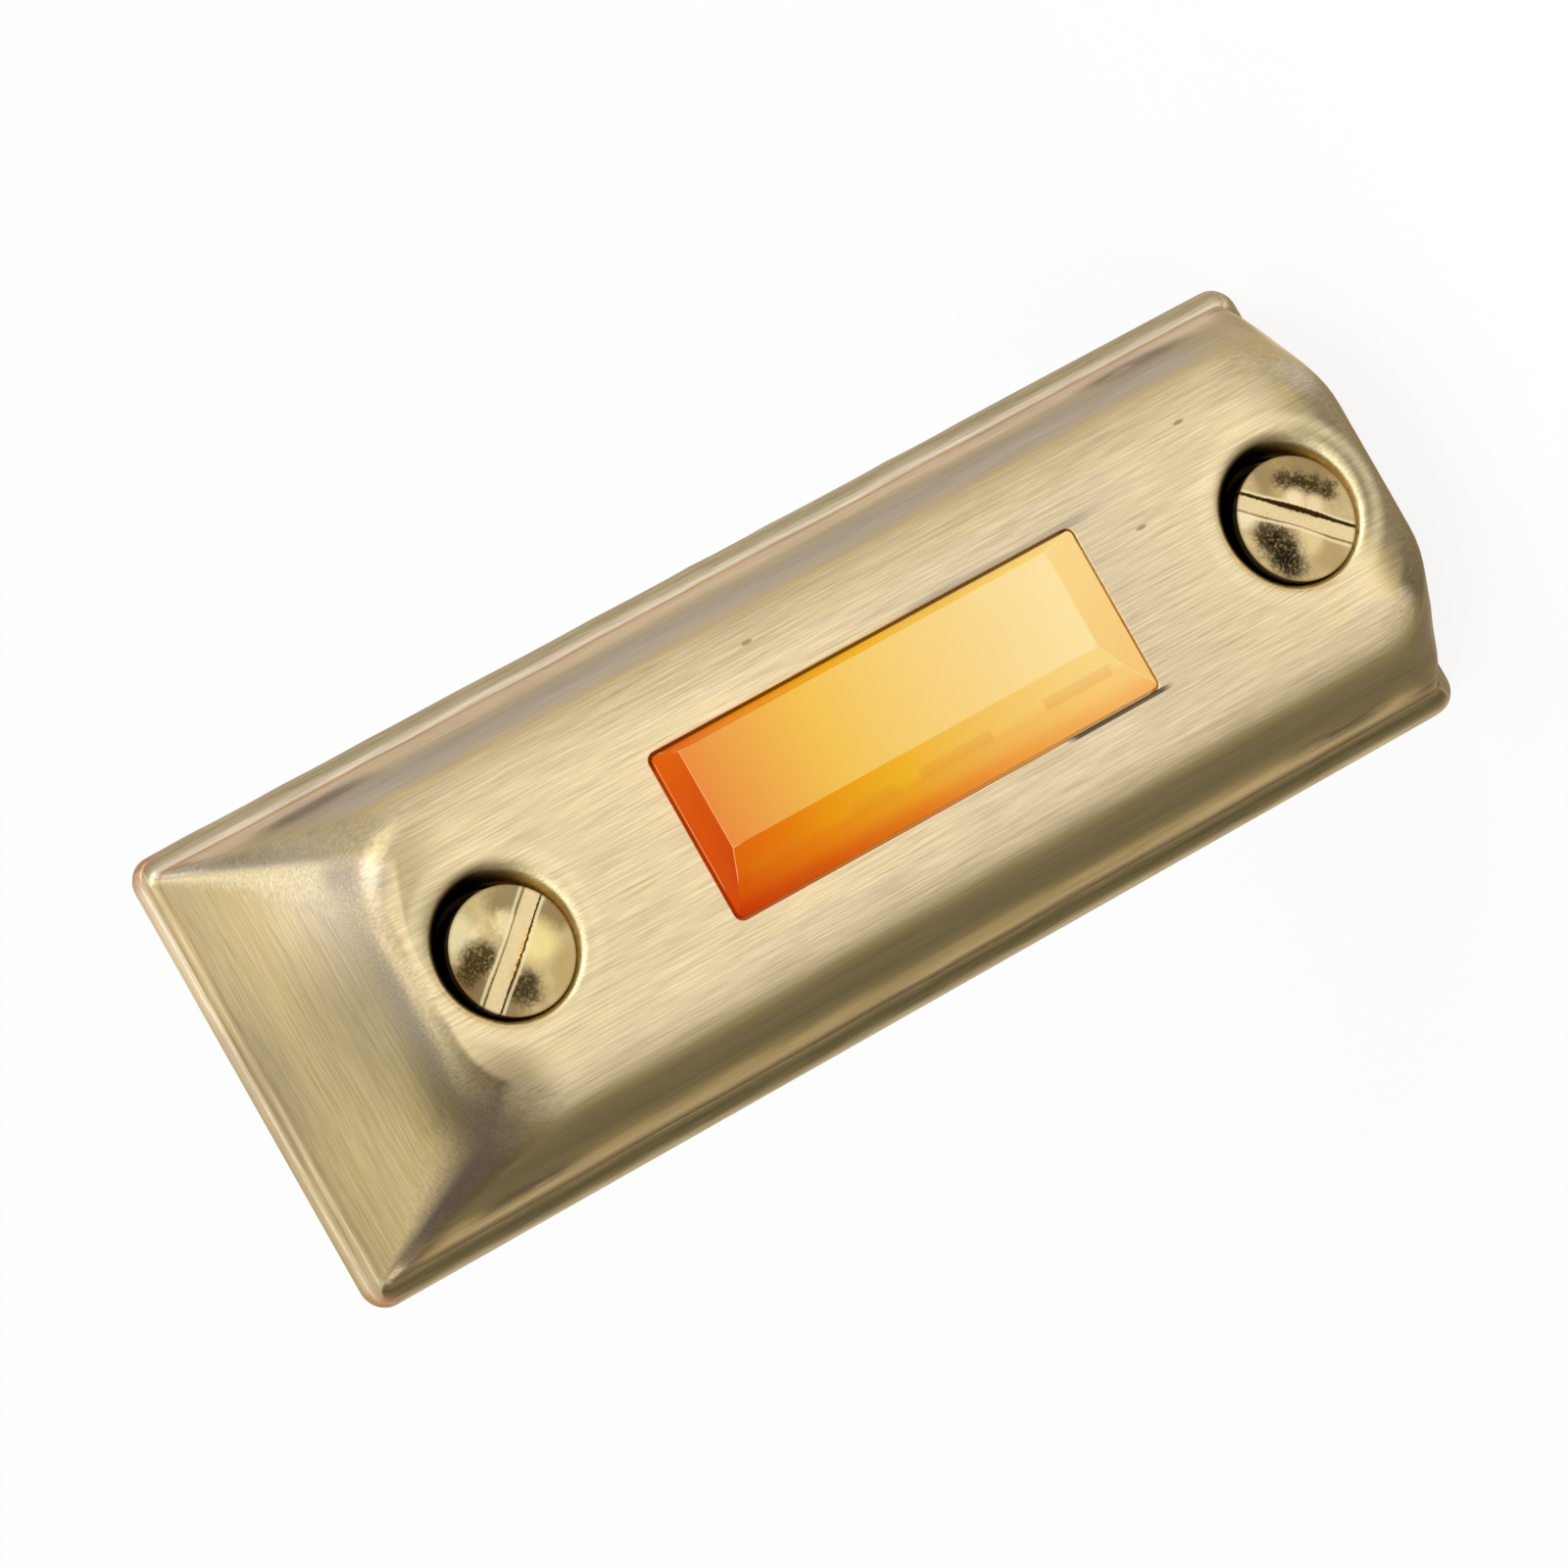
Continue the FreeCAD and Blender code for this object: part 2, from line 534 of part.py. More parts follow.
def make_cover():
    """Pressed brass cover: lip, coves, leaning walls, rounded ridge, window and screw wells."""
    cover = Piece("cover")
    lip = cover.sketch("lip")
    rounded_rectangle(lip, "dim.plate_width / 2", "dim.plate_length / 2", "dim.lip_corner")
    shell = cover.pad(lip, "dim.sheet")
    doc.recompute()
    cover.chamfer(shell, edges_at_depth(shell, "dim.sheet"), "dim.lip_edge")
    leaning_block(cover, "dim.sheet", FRONT, "0")
    for side in (1, -1):
        for way in (1, -1):
            shell = round_hip(cover, side, way)
    shell = cover.fillet(shell, edges_at_depth(shell, FRONT), "dim.ridge_round")

    def at_foot(box):
        reach_x = max(-box.XMin, box.XMax)
        reach_z = max(-box.ZMin, box.ZMax)
        half_width = number(wall_half_width("dim.sheet"))
        half_length = number(wall_half_length("dim.sheet"))
        return reach_x < half_width + 0.01 and reach_z < half_length + 0.01

    cover.fillet(shell, edges_at_depth(shell, "dim.sheet", at_foot), "dim.cove_round")

    hollow = Piece("cover_hollow")
    core = leaning_block(hollow, "0", SHEET_BACK, "dim.sheet")
    core = hollow.fillet(core, slanted_edges(core), "dim.hollow_corner")
    hollow.fillet(core, edges_at_depth(core, SHEET_BACK), "dim.ridge_round - dim.sheet")
    cover.cut_away(hollow)

    cups = cover.sketch("cups", WELL_BACK)
    wells = cover.sketch("wells", FRONT)
    holes = cover.sketch("holes", FRONT)
    for _, way in ENDS:
        circle(cups, "dim.well_radius + dim.sheet", z=f"{way} * {SCREW}")
        circle(wells, "dim.well_radius", z=f"{way} * {SCREW}")
        circle(holes, "dim.screw_hole", z=f"{way} * {SCREW}")
    cover.pad(cups, "dim.well_depth + dim.sheet / 2")
    shell = cover.pocket(wells, "dim.well_depth")
    doc.recompute()
    rims = edges_at_depth(shell, FRONT, lambda box: box.ZLength < 3 * number("dim.well_radius"))
    cover.chamfer(shell, rims, "dim.well_lip")
    cover.pocket(holes, f"dim.well_depth + dim.sheet + {CLEAR}")
    window = cover.sketch("window", FRONT)
    rounded_rectangle(window, "dim.window_width / 2", "dim.window_length / 2", "dim.window_corner")
    cover.pocket(window, f"dim.sheet + {CLEAR}")
    return cover


def make_push_button():
    """Amber push bar: bevelled top, flange behind the window, hollow back, web and staking pins."""
    bar = Piece("push_button")
    flange = bar.sketch("flange", FLANGE_BACK)
    rounded_rectangle(flange, FLANGE_HALF_WIDTH, FLANGE_HALF_LENGTH, f"{BAR_CORNER} + dim.flange_reach / 2")
    bar.pad(flange, "dim.flange_thick")
    block = bar.sketch("block", FLANGE_BACK)
    rounded_rectangle(block, BAR_HALF_WIDTH, BAR_HALF_LENGTH, BAR_CORNER)
    bar.pad(block, f"{BAR_TOP} - {FLANGE_BACK}")

    top = minus(BAR_TOP)
    bevel = minus(f"{FRONT} + dim.bar_bevel_rise")
    foot = minus(f"{FRONT} + dim.bar_foot_rise")
    above = minus(f"{BAR_TOP} + {CLEAR}")
    beside = f"{BAR_HALF_WIDTH} + {CLEAR}"
    side_facets = bar.sketch("side_facets", plane="XY_Plane")
    outline(
        side_facets,
        [
            (minus(beside), above),
            (minus(beside), foot),
            (minus(BAR_HALF_WIDTH), foot),
            (minus(f"{BAR_HALF_WIDTH} - dim.bar_left_bevel"), bevel),
            (minus(f"{BAR_HALF_WIDTH} - dim.bar_left_slope"), top),
            (f"{BAR_HALF_WIDTH} - dim.bar_right_bevel", top),
            (BAR_HALF_WIDTH, foot),
            (beside, foot),
            (beside, above),
        ],
    )
    bar.cut_through(side_facets)
    past_end = f"{BAR_HALF_LENGTH} + {CLEAR}"
    for end, way in ENDS:
        end_facet = bar.sketch(f"{end}_facet", plane="YZ_Plane")
        top_edge = f"{way} * ({BAR_HALF_LENGTH} - dim.bar_{end}_bevel)"
        outline(
            end_facet,
            [
                (top, top_edge),
                (foot, f"{way} * {BAR_HALF_LENGTH}"),
                (foot, f"{way} * ({past_end})"),
                (above, f"{way} * ({past_end})"),
                (above, top_edge),
            ],
        )
        bar.cut_through(end_facet)

    hollow = bar.sketch("hollow", FLANGE_BACK)
    rounded_rectangle(hollow, HOLLOW_HALF_WIDTH, HOLLOW_HALF_LENGTH, BAR_CORNER)
    bar.pocket(hollow, f"{BAR_ROOF} - {FLANGE_BACK}", to_front=True)
    web = bar.sketch("web", BRIDGE_FRONT)
    rectangle(web, HOLLOW_HALF_WIDTH, "dim.web_thick / 2")
    bar.pad(web, f"{BAR_ROOF} - {BRIDGE_FRONT}")
    pins = bar.sketch("pins", BRIDGE_BACK)
    heads = bar.sketch("pin_heads", f"{BRIDGE_BACK} - dim.pin_head_thick")
    posts = bar.sketch("posts", f"{BAR_ROOF} - dim.post_height")
    for _, way in ENDS:
        circle(pins, "dim.pin_radius", x=f"{way} * dim.pin_place")
        circle(heads, "dim.pin_head_radius", x=f"{way} * dim.pin_place")
        circle(posts, "dim.post_radius", z=f"{way} * {SPRING}")
    bar.pad(pins, "dim.bridge_thick")
    bar.pad(heads, "dim.pin_head_thick")
    bar.pad(posts, "dim.post_height")
    return bar


def make_base():
    """Black moulded tray: wiring bay, screw bosses, guide box with stop ledges, spring posts."""
    base = Piece("base")
    tray = leaning_block(base, "0", FLOOR_FRONT, TRAY_INSET)
    base.fillet(tray, slanted_edges(tray), "dim.base_corner")
    bay = Piece("wiring_bay")
    core = leaning_block(bay, "0", "dim.bay_depth", BAY_INSET)
    bay.fillet(core, slanted_edges(core), "dim.bay_corner")
    base.cut_away(bay)

    bosses = base.sketch("bosses")
    bores = base.sketch("bores", WELL_BACK)
    posts = base.sketch("posts", FLOOR_FRONT)
    for _, way in ENDS:
        circle(bosses, "dim.boss_radius", z=f"{way} * {SCREW}")
        circle(bores, "dim.screw_hole", z=f"{way} * {SCREW}")
        circle(posts, "dim.post_radius", z=f"{way} * {SPRING}")
    base.pad(bosses, WELL_BACK)
    base.pocket(bores, f"{WELL_BACK} + {CLEAR}")

    guide = base.sketch("guide", FLOOR_FRONT)
    rounded_rectangle(
        guide,
        f"{GUIDE_HALF_WIDTH} + dim.guide_wall",
        f"{GUIDE_HALF_LENGTH} + dim.guide_wall",
        "dim.guide_corner + dim.guide_wall",
    )
    base.pad(guide, f"{GUIDE_FRONT} - {FLOOR_FRONT}")
    slide = base.sketch("slide", GUIDE_FRONT)
    rounded_rectangle(slide, GUIDE_HALF_WIDTH, GUIDE_HALF_LENGTH, "dim.guide_corner")
    base.pocket(slide, f"{GUIDE_FRONT} - {STOP}")
    chamber = base.sketch("chamber", STOP)
    rounded_rectangle(chamber, GUIDE_HALF_WIDTH, f"{GUIDE_HALF_LENGTH} - dim.ledge", "dim.guide_corner")
    base.pocket(chamber, f"{STOP} - {FLOOR_FRONT}")
    base.pad(posts, "dim.post_height")

    slots = base.sketch("strip_slots", FLOOR_FRONT)
    bush_holes = base.sketch("bush_holes", FLOOR_FRONT)
    slot_middle = f"({GUIDE_HALF_LENGTH} + dim.guide_wall / 2 - dim.ledge / 2)"
    for _, way in ENDS:
        rounded_rectangle(
            slots,
            "dim.strip_width / 2 + dim.strip_gap",
            "dim.guide_wall / 2 + dim.ledge / 2 + dim.strip_gap",
            "dim.strip_gap",
            x=f"{way} * dim.contact_place",
            z=f"{way} * {slot_middle}",
        )
        circle(
            bush_holes,
            "dim.bush_radius + dim.bush_gap",
            x=f"{way} * {TERMINAL_SIDE}",
            z=f"{way} * {TERMINAL}",
        )
    base.pocket(slots, "dim.strip_thick + dim.strip_gap", to_front=True)
    base.pocket(bush_holes, f"dim.floor_thick + {CLEAR}")
    return base


def make_contact_bridge():
    """Flat brass bar, staked under the push bar, that joins the two contacts."""
    bridge = Piece("contact_bridge")
    plate = bridge.sketch("plate", BRIDGE_BACK)
    rounded_rectangle(plate, "dim.bridge_half", "dim.bridge_width / 2", "dim.bridge_corner")
    bridge.pad(plate, "dim.bridge_thick")
    holes = bridge.sketch("holes", BRIDGE_BACK)
    for _, way in ENDS:
        circle(holes, "dim.pin_radius + dim.pin_gap", x=f"{way} * dim.pin_place")
    bridge.cut_through(holes)
    return bridge


def make_contact_strip(end, turn):
    """Brass strip on the base's floor, from the contact to the eye at the terminal."""
    strip = Piece(f"contact_strip_{end}", turn=turn)
    bar = strip.sketch("bar", FLOOR_FRONT)
    half_run = f"({TERMINAL} / 2)"
    rectangle(bar, "dim.strip_width / 2", half_run, x="dim.contact_place", z=half_run)
    strip.pad(bar, "dim.strip_thick")
    ends = strip.sketch("round_end", FLOOR_FRONT)
    circle(ends, "dim.strip_width / 2", x="dim.contact_place")
    strip.pad(ends, "dim.strip_thick")
    eye = strip.sketch("eye", FLOOR_FRONT)
    circle(eye, "dim.strip_eye", x=TERMINAL_SIDE, z=TERMINAL)
    strip.pad(eye, "dim.strip_thick")
    hole = strip.sketch("hole", STRIP_FRONT)
    circle(hole, "dim.bush_radius + dim.bush_gap", x=TERMINAL_SIDE, z=TERMINAL)
    strip.pocket(hole, f"dim.strip_thick + {CLEAR}")
    return strip


def make_contact_point(end, way):
    """Silver contact rivet with a low crown."""
    point = Piece(f"contact_point_{end}", x=f"{way} * dim.contact_place", y=minus(STRIP_FRONT))
    point.turned(
        [
            ("0", "0"),
            ("dim.contact_radius", "0"),
            ("dim.contact_radius", minus("dim.contact_side")),
            ("0", minus("dim.contact_height")),
        ],
        crowned=True,
    )
    return point


def at_terminal(label, way):
    """A turned piece on the axis of a terminal."""
    return Piece(label, x=f"{way} * {TERMINAL_SIDE}", z=f"{way} * {TERMINAL}")


def make_terminal_bush(end, way):
    """Threaded eyelet: flange in the wiring bay, rim turned over the strip's eye."""
    bush = at_terminal(f"terminal_bush_{end}", way)
    back = minus(BUSH_BACK)
    front = minus(f"{STRIP_FRONT} + dim.bush_rim_thick")
    bush.turned(
        [
            ("dim.bush_bore", back),
            ("dim.bush_flange", back),
            ("dim.bush_flange", minus("dim.bay_depth")),
            ("dim.bush_radius", minus("dim.bay_depth")),
            ("dim.bush_radius", minus(STRIP_FRONT)),
            ("dim.bush_rim", minus(STRIP_FRONT)),
            ("dim.bush_rim", front),
            ("dim.bush_bore", front),
        ]
    )
    return bush


def make_terminal_washer(end, way):
    """Flat washer under a wiring screw's head."""
    washer = at_terminal(f"terminal_washer_{end}", way)
    washer.turned(
        [
            ("dim.washer_bore", minus(WASHER_BACK)),
            ("dim.washer_radius", minus(WASHER_BACK)),
            ("dim.washer_radius", minus(BUSH_BACK)),
            ("dim.washer_bore", minus(BUSH_BACK)),
        ]
    )
    return washer


def make_terminal_screw(end, way):
    """Slotted wiring screw, its head in the bay and its shank in the bush."""
    screw = at_terminal(f"terminal_screw_{end}", way)
    back = f"({WASHER_BACK} - dim.terminal_head_height)"
    shoulder = minus(f"{WASHER_BACK} - dim.terminal_head_side")
    point = minus(f"{WASHER_BACK} + dim.terminal_length")
    bevel = "(dim.terminal_head_height - dim.terminal_head_side)"
    screw.turned(
        [
            ("0", minus(back)),
            (f"dim.terminal_head - {bevel}", minus(back)),
            ("dim.terminal_head", shoulder),
            ("dim.terminal_head", minus(WASHER_BACK)),
            ("dim.terminal_shank", minus(WASHER_BACK)),
            ("dim.terminal_shank", point),
            ("0", point),
        ]
    )
    slot = screw.sketch("slot", back)
    rectangle(slot, "dim.terminal_slot / 2", f"dim.terminal_head + {CLEAR}")
    screw.pocket(slot, "dim.terminal_slot", to_front=True)
    return screw


def make_return_spring(end, way):
    """Coil spring with closed end turns, between the base's floor and the push bar's roof."""
    spring = Piece(f"return_spring_{end}", z=f"{way} * {SPRING}")
    first = f"({FLOOR_FRONT} + dim.spring_gap + dim.spring_wire / 2)"
    last = f"({BAR_ROOF} - dim.spring_gap - dim.spring_wire / 2)"
    pitch = "dim.spring_dead_pitch"
    for what, start, height, turns in (
        ("seat", first, pitch, "1"),
        ("coil", f"({first} + {pitch})", f"{last} - {first} - 2 * {pitch}", "dim.spring_turns"),
        ("head", f"({last} - {pitch})", pitch, "1"),
    ):
        wire = spring.sketch(what, plane="XY_Plane")
        rectangle(wire, "dim.spring_wire / 2", "dim.spring_wire / 2", "dim.spring_radius", minus(start))
        turn = spring.feature("AdditiveHelix", "turns")
        turn.Profile = wire
        turn.ReferenceAxis = (wire, ["V_Axis"])
        turn.Mode = "height-turns-angle"
        turn.setExpression("Height", height)
        turn.setExpression("Turns", turns)
        turn.Angle = 0
        turn.Reversed = True
        doc.recompute()
    return spring


def make_circuit_board():
    """Small board on the base's floor, under the push bar."""
    board = Piece("circuit_board")
    plate = board.sketch("plate", FLOOR_FRONT)
    rounded_rectangle(plate, "dim.board_half_width", BOARD_HALF_LENGTH, "dim.board_corner")
    board.pad(plate, "dim.board_thick")
    return board


def make_lamp(end, way):
    """Small lamp with a rim and a round crown, standing on the board."""
    lamp = Piece(f"lamp_{end}", y=minus(BOARD_FRONT), z=f"{way} * {LAMP}")
    lamp.turned(
        [
            ("0", "0"),
            ("dim.lamp_rim", "0"),
            ("dim.lamp_rim", minus("dim.lamp_rim_thick")),
            ("dim.lamp_radius", minus("dim.lamp_rim_thick")),
            ("dim.lamp_radius", minus("dim.lamp_side")),
            ("0", minus("dim.lamp_height")),
        ],
        crowned=True,
    )
    return lamp


def make_axial(label, way, half_side):
    """Resistor or diode: a round body across the board, with its two bent leads.

    The body is the same at both ends. half_side is its outline from the end to the middle,
    as (distance from the middle, radius) points.
    """
    lift = "(dim.axial_lift + dim.axial_radius)"
    part = Piece(label, y=minus(f"{BOARD_FRONT} + {lift}"), z=f"{way} * dim.axial_place")
    part.wire("dim.axial_lead_half", lift, lift)
    section = part.sketch("section", plane="XY_Plane")
    left = [(minus(x), minus(radius)) for x, radius in half_side]
    right = [(x, minus(radius)) for x, radius in reversed(half_side)]
    outline(section, left + right)
    part.revolve(section, axis="H_Axis")
    return part


def make_jumper(end, way, turn):
    """Bent wire from the board to the contact strip."""
    middle = "(dim.jumper_board_end + dim.jumper_strip_end) / 2"
    jumper = Piece(
        f"jumper_{end}",
        x=f"{way} * {middle}",
        y=minus(f"{BOARD_FRONT} + dim.jumper_rise"),
        z=f"{way} * ({BOARD_HALF_LENGTH} - dim.jumper_from_end)",
        turn=turn,
    )
    to_strip = f"{BOARD_FRONT} + dim.jumper_rise - {STRIP_FRONT}"
    jumper.wire("(dim.jumper_strip_end - dim.jumper_board_end) / 2", "dim.jumper_rise", to_strip)
    return jumper


def make_mounting_screw(end, way):
    """Slotted wood screw: crowned head in its well, plain shank, thread and point beyond the wall."""
    turn = number(f"dim.slot_turn_{end}")
    screw = Piece(f"mounting_screw_{end}", x=minus("dim.screw_shift"), z=f"{way} * {SCREW}", turn=turn)
    tip = "dim.thread_length + dim.point_length"
    seat = minus(WELL_FLOOR)
    screw.turned(
        [
            ("0", tip),
            ("dim.point_radius", tip),
            ("dim.thread_radius", "dim.thread_length"),
            ("dim.thread_radius", "0"),
            ("dim.shank_radius", "0"),
            ("dim.shank_radius", seat),
            ("dim.head_radius", seat),
            ("dim.head_radius", minus(f"{WELL_FLOOR} + dim.head_side")),
            ("0", minus(f"{WELL_FLOOR} + dim.head_height")),
        ],
        crowned=True,
    )
    slot = screw.sketch("slot", f"{WELL_FLOOR} + dim.head_height")
    rectangle(slot, "dim.head_slot_width / 2", f"dim.head_radius + {CLEAR}")
    screw.pocket(slot, "dim.head_slot_depth")
    return screw


pieces = [make_cover(), make_push_button(), make_base(), make_contact_bridge(), make_circuit_board()]
end_side = [("dim.axial_half", "0"), ("dim.axial_half", "dim.axial_radius")]
inside = "(dim.axial_half - dim.axial_end)"
waist = [(inside, "dim.axial_radius"), (inside, "dim.axial_waist")]
pieces.append(make_axial("resistor", 1, end_side + waist))
pieces.append(make_axial("diode", -1, end_side))
for end, way in ENDS:
    turn = 0.0 if way > 0 else HALF_TURN
    pieces.append(make_contact_strip(end, turn))
    pieces.append(make_contact_point(end, way))
    pieces.append(make_terminal_bush(end, way))
    pieces.append(make_terminal_washer(end, way))
    pieces.append(make_terminal_screw(end, way))
    pieces.append(make_return_spring(end, way))
    pieces.append(make_lamp(end, way))
    pieces.append(make_jumper(end, way, turn))
    pieces.append(make_mounting_screw(end, way))
doc.recompute()

for item in doc.Objects:
    if "Invalid" in item.State or "Error" in item.State:
        raise RuntimeError(f"{item.Label} did not build: {item.State}")
os.makedirs("parts", exist_ok=True)
for piece in pieces:
    shape = piece.body.Shape
    if shape.isNull() or not shape.isValid() or len(shape.Solids) != 1:
        raise RuntimeError(f"{piece.label} is not one valid solid")
for piece in pieces:
    piece.body.Shape.exportStep(f"parts/{piece.label}.step")
    print(piece.label, round(piece.body.Shape.Volume, 2))
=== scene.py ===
"""Looks of a lighted doorbell push button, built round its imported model.

Metres, in the row frame: the wall is y = 0, the front faces -Y, +Z runs along the plate, X across.
Shapes are worked out in millimetres. A depth is a distance from the wall towards the front.
"""

from math import asin, atan, cos, hypot, pi, radians, sin, sqrt, tan

import bmesh
import bpy
from bpy.props import FloatProperty, FloatVectorProperty, PointerProperty
from mathutils import Matrix, Vector, noise
from mathutils.geometry import tessellate_polygon


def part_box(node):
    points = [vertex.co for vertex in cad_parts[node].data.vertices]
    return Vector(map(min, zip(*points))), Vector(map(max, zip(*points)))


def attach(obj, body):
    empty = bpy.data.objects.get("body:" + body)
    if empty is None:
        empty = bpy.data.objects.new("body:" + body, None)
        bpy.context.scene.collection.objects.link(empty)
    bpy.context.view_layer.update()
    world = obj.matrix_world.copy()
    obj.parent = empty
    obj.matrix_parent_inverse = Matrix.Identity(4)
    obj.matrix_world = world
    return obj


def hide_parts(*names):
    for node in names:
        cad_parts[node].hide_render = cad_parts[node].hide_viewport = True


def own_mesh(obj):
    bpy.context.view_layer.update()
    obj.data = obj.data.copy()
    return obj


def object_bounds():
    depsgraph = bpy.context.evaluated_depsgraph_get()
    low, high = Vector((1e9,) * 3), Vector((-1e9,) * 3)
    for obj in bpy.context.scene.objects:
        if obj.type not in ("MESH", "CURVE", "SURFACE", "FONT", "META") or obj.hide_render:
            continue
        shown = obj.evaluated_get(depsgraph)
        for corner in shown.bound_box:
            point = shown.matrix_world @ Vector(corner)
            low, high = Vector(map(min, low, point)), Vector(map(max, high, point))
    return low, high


bl_info = {
    "name": "Doorbell push button",
    "version": (1, 0, 0),
    "blender": (4, 5, 0),
    "location": "3D View > Sidebar > Doorbell",
    "description": "Builds the finishes and fine shapes of a lighted doorbell push button",
    "category": "Object",
}

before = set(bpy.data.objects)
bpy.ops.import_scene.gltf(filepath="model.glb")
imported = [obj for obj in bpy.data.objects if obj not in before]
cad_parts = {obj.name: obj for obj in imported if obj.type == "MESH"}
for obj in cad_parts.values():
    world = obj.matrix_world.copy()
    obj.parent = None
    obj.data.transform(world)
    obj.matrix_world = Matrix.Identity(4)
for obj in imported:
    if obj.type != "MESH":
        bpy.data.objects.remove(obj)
CAD_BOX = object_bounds()
MM = 0.001
ENDS = (("upper", 1), ("lower", -1))
MERGE, CAD_MERGE = 1e-7, 2e-6  # Points closer than this, in metres, are one
FLAT = radians(1.0)  # Faces of a CAD node that turn less than this are one


def box_mm(node):
    """A node's lowest corner, middle and highest corner, in millimetres."""
    low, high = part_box(node)
    return low / MM, (low / MM + high / MM) / 2, high / MM


def colour(tone):
    """A colour given as three display bytes, as the linear colour that shaders take."""
    linear = []
    for byte in tone:
        share = byte / 255
        linear.append(share / 12.92 if share <= 0.04045 else ((share + 0.055) / 1.055) ** 2.4)
    return (*linear, 1.0)


class Shell:
    """Points in millimetres and the faces between them, gathered loop by loop."""

    def __init__(self):
        self.points = []
        self.faces = []
        self.marks = {}

    def loop(self, points, **marks):
        """Add points and return their numbers. A mark is one value, or a value for each point."""
        first = len(self.points)
        self.points.extend(points)
        added = range(first, len(self.points))
        for name, value in marks.items():
            values = value if isinstance(value, list) else [value] * len(points)
            self.marks.setdefault(name, {}).update(zip(added, values))
        return list(added)

    def bridge(self, first, second):
        for i in range(len(first)):
            j = (i + 1) % len(first)
            self.faces.append((first[i], first[j], second[j], second[i]))

    def skin(self, loops):
        for first, second in zip(loops, loops[1:]):
            self.bridge(first, second)

    def fill(self, outer, holes=()):
        """Flat faces between an outer loop and the loops of its holes."""
        loops = [outer, *holes]
        order = [index for loop in loops for index in loop]
        flat = [[Vector((self.points[i][0], self.points[i][2], 0)) for i in loop] for loop in loops]
        for triangle in tessellate_polygon(flat):
            self.faces.append(tuple(order[corner] for corner in triangle))

    def cap(self, loop):
        """Close a loop with a fan round its middle."""
        middle = sum((Vector(self.points[i]) for i in loop), Vector()) / len(loop)
        (centre,) = self.loop([tuple(middle)])
        for i in range(len(loop)):
            self.faces.append((loop[i], loop[(i + 1) % len(loop)], centre))


def link_piece(name, mesh, sharp=35.0):
    """Smooth a finished mesh, all but its sharp edges, and put it in the scene."""
    mesh.shade_smooth()
    mesh.set_sharp_from_angle(angle=radians(sharp))
    piece = bpy.data.objects.new(name, mesh)
    bpy.context.scene.collection.objects.link(piece)
    return piece


def weld(mesh):
    """Merge what coincides and turn the faces outwards."""
    work = bmesh.new()
    work.from_mesh(mesh)
    bmesh.ops.remove_doubles(work, verts=work.verts, dist=MERGE)
    bmesh.ops.recalc_face_normals(work, faces=work.faces)
    work.to_mesh(mesh)
    work.free()


def make_piece(name, shell, sharp=35.0):
    """A piece from a closed shell."""
    mesh = bpy.data.meshes.new(name)
    mesh.from_pydata([Vector(point) * MM for point in shell.points], [], shell.faces)
    for mark, values in shell.marks.items():
        attribute = mesh.attributes.new(mark, "FLOAT", "POINT")
        for index, value in values.items():
            attribute.data[index].value = value
    weld(mesh)
    return link_piece(name, mesh, sharp)


def dress(piece, material, slot, *nodes, body="housing"):
    """Give a finished piece its material, its body, and the CAD nodes that it stands for."""
    piece.data.materials.clear()
    piece.data.materials.append(material)
    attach(piece, body)
    if nodes:
        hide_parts(*nodes)
    return piece


def soften(node, material, slot, bevel=0.05, name=None, sharp=35.0, reshape=None, body="housing"):
    """Stand a copy of a CAD node in for it, its loose triangles merged and its edges rounded.

    Its faces carry "edge": 1 on the roundings, 0 elsewhere. reshape moves the mesh's points first.
    """
    name = name or f"{node}_soft"
    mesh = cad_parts[node].data.copy()
    mesh.name = name
    work = bmesh.new()
    work.from_mesh(mesh)
    bmesh.ops.remove_doubles(work, verts=work.verts, dist=CAD_MERGE)
    bmesh.ops.dissolve_limit(work, angle_limit=FLAT, verts=work.verts, edges=work.edges)
    layer = work.faces.layers.float.new("edge")
    if reshape:
        for vert in work.verts:
            vert.co = Vector(reshape(*(vert.co / MM))) * MM
    shared = [edge for edge in work.edges if len(edge.link_faces) == 2]
    rounded = bmesh.ops.bevel(
        work, geom=[edge for edge in shared if edge.calc_face_angle(0) > radians(sharp)],
        offset=bevel * MM, segments=2, profile=0.5, affect="EDGES", clamp_overlap=True,
    )
    for face in rounded["faces"]:
        face[layer] = 1.0
    bmesh.ops.triangulate(work, faces=[face for face in work.faces if len(face.verts) > 4])
    work.to_mesh(mesh)
    work.free()
    dress(link_piece(name, mesh, sharp), material, slot, node, body=body)


def arithmetic(operation, swapped=False):
    """A method of a wire that adds a math node to its tree."""
    def method(wire, *others):
        values = (*others, wire) if swapped else (wire, *others)
        return wire.tree.math(operation, *values)
    return method


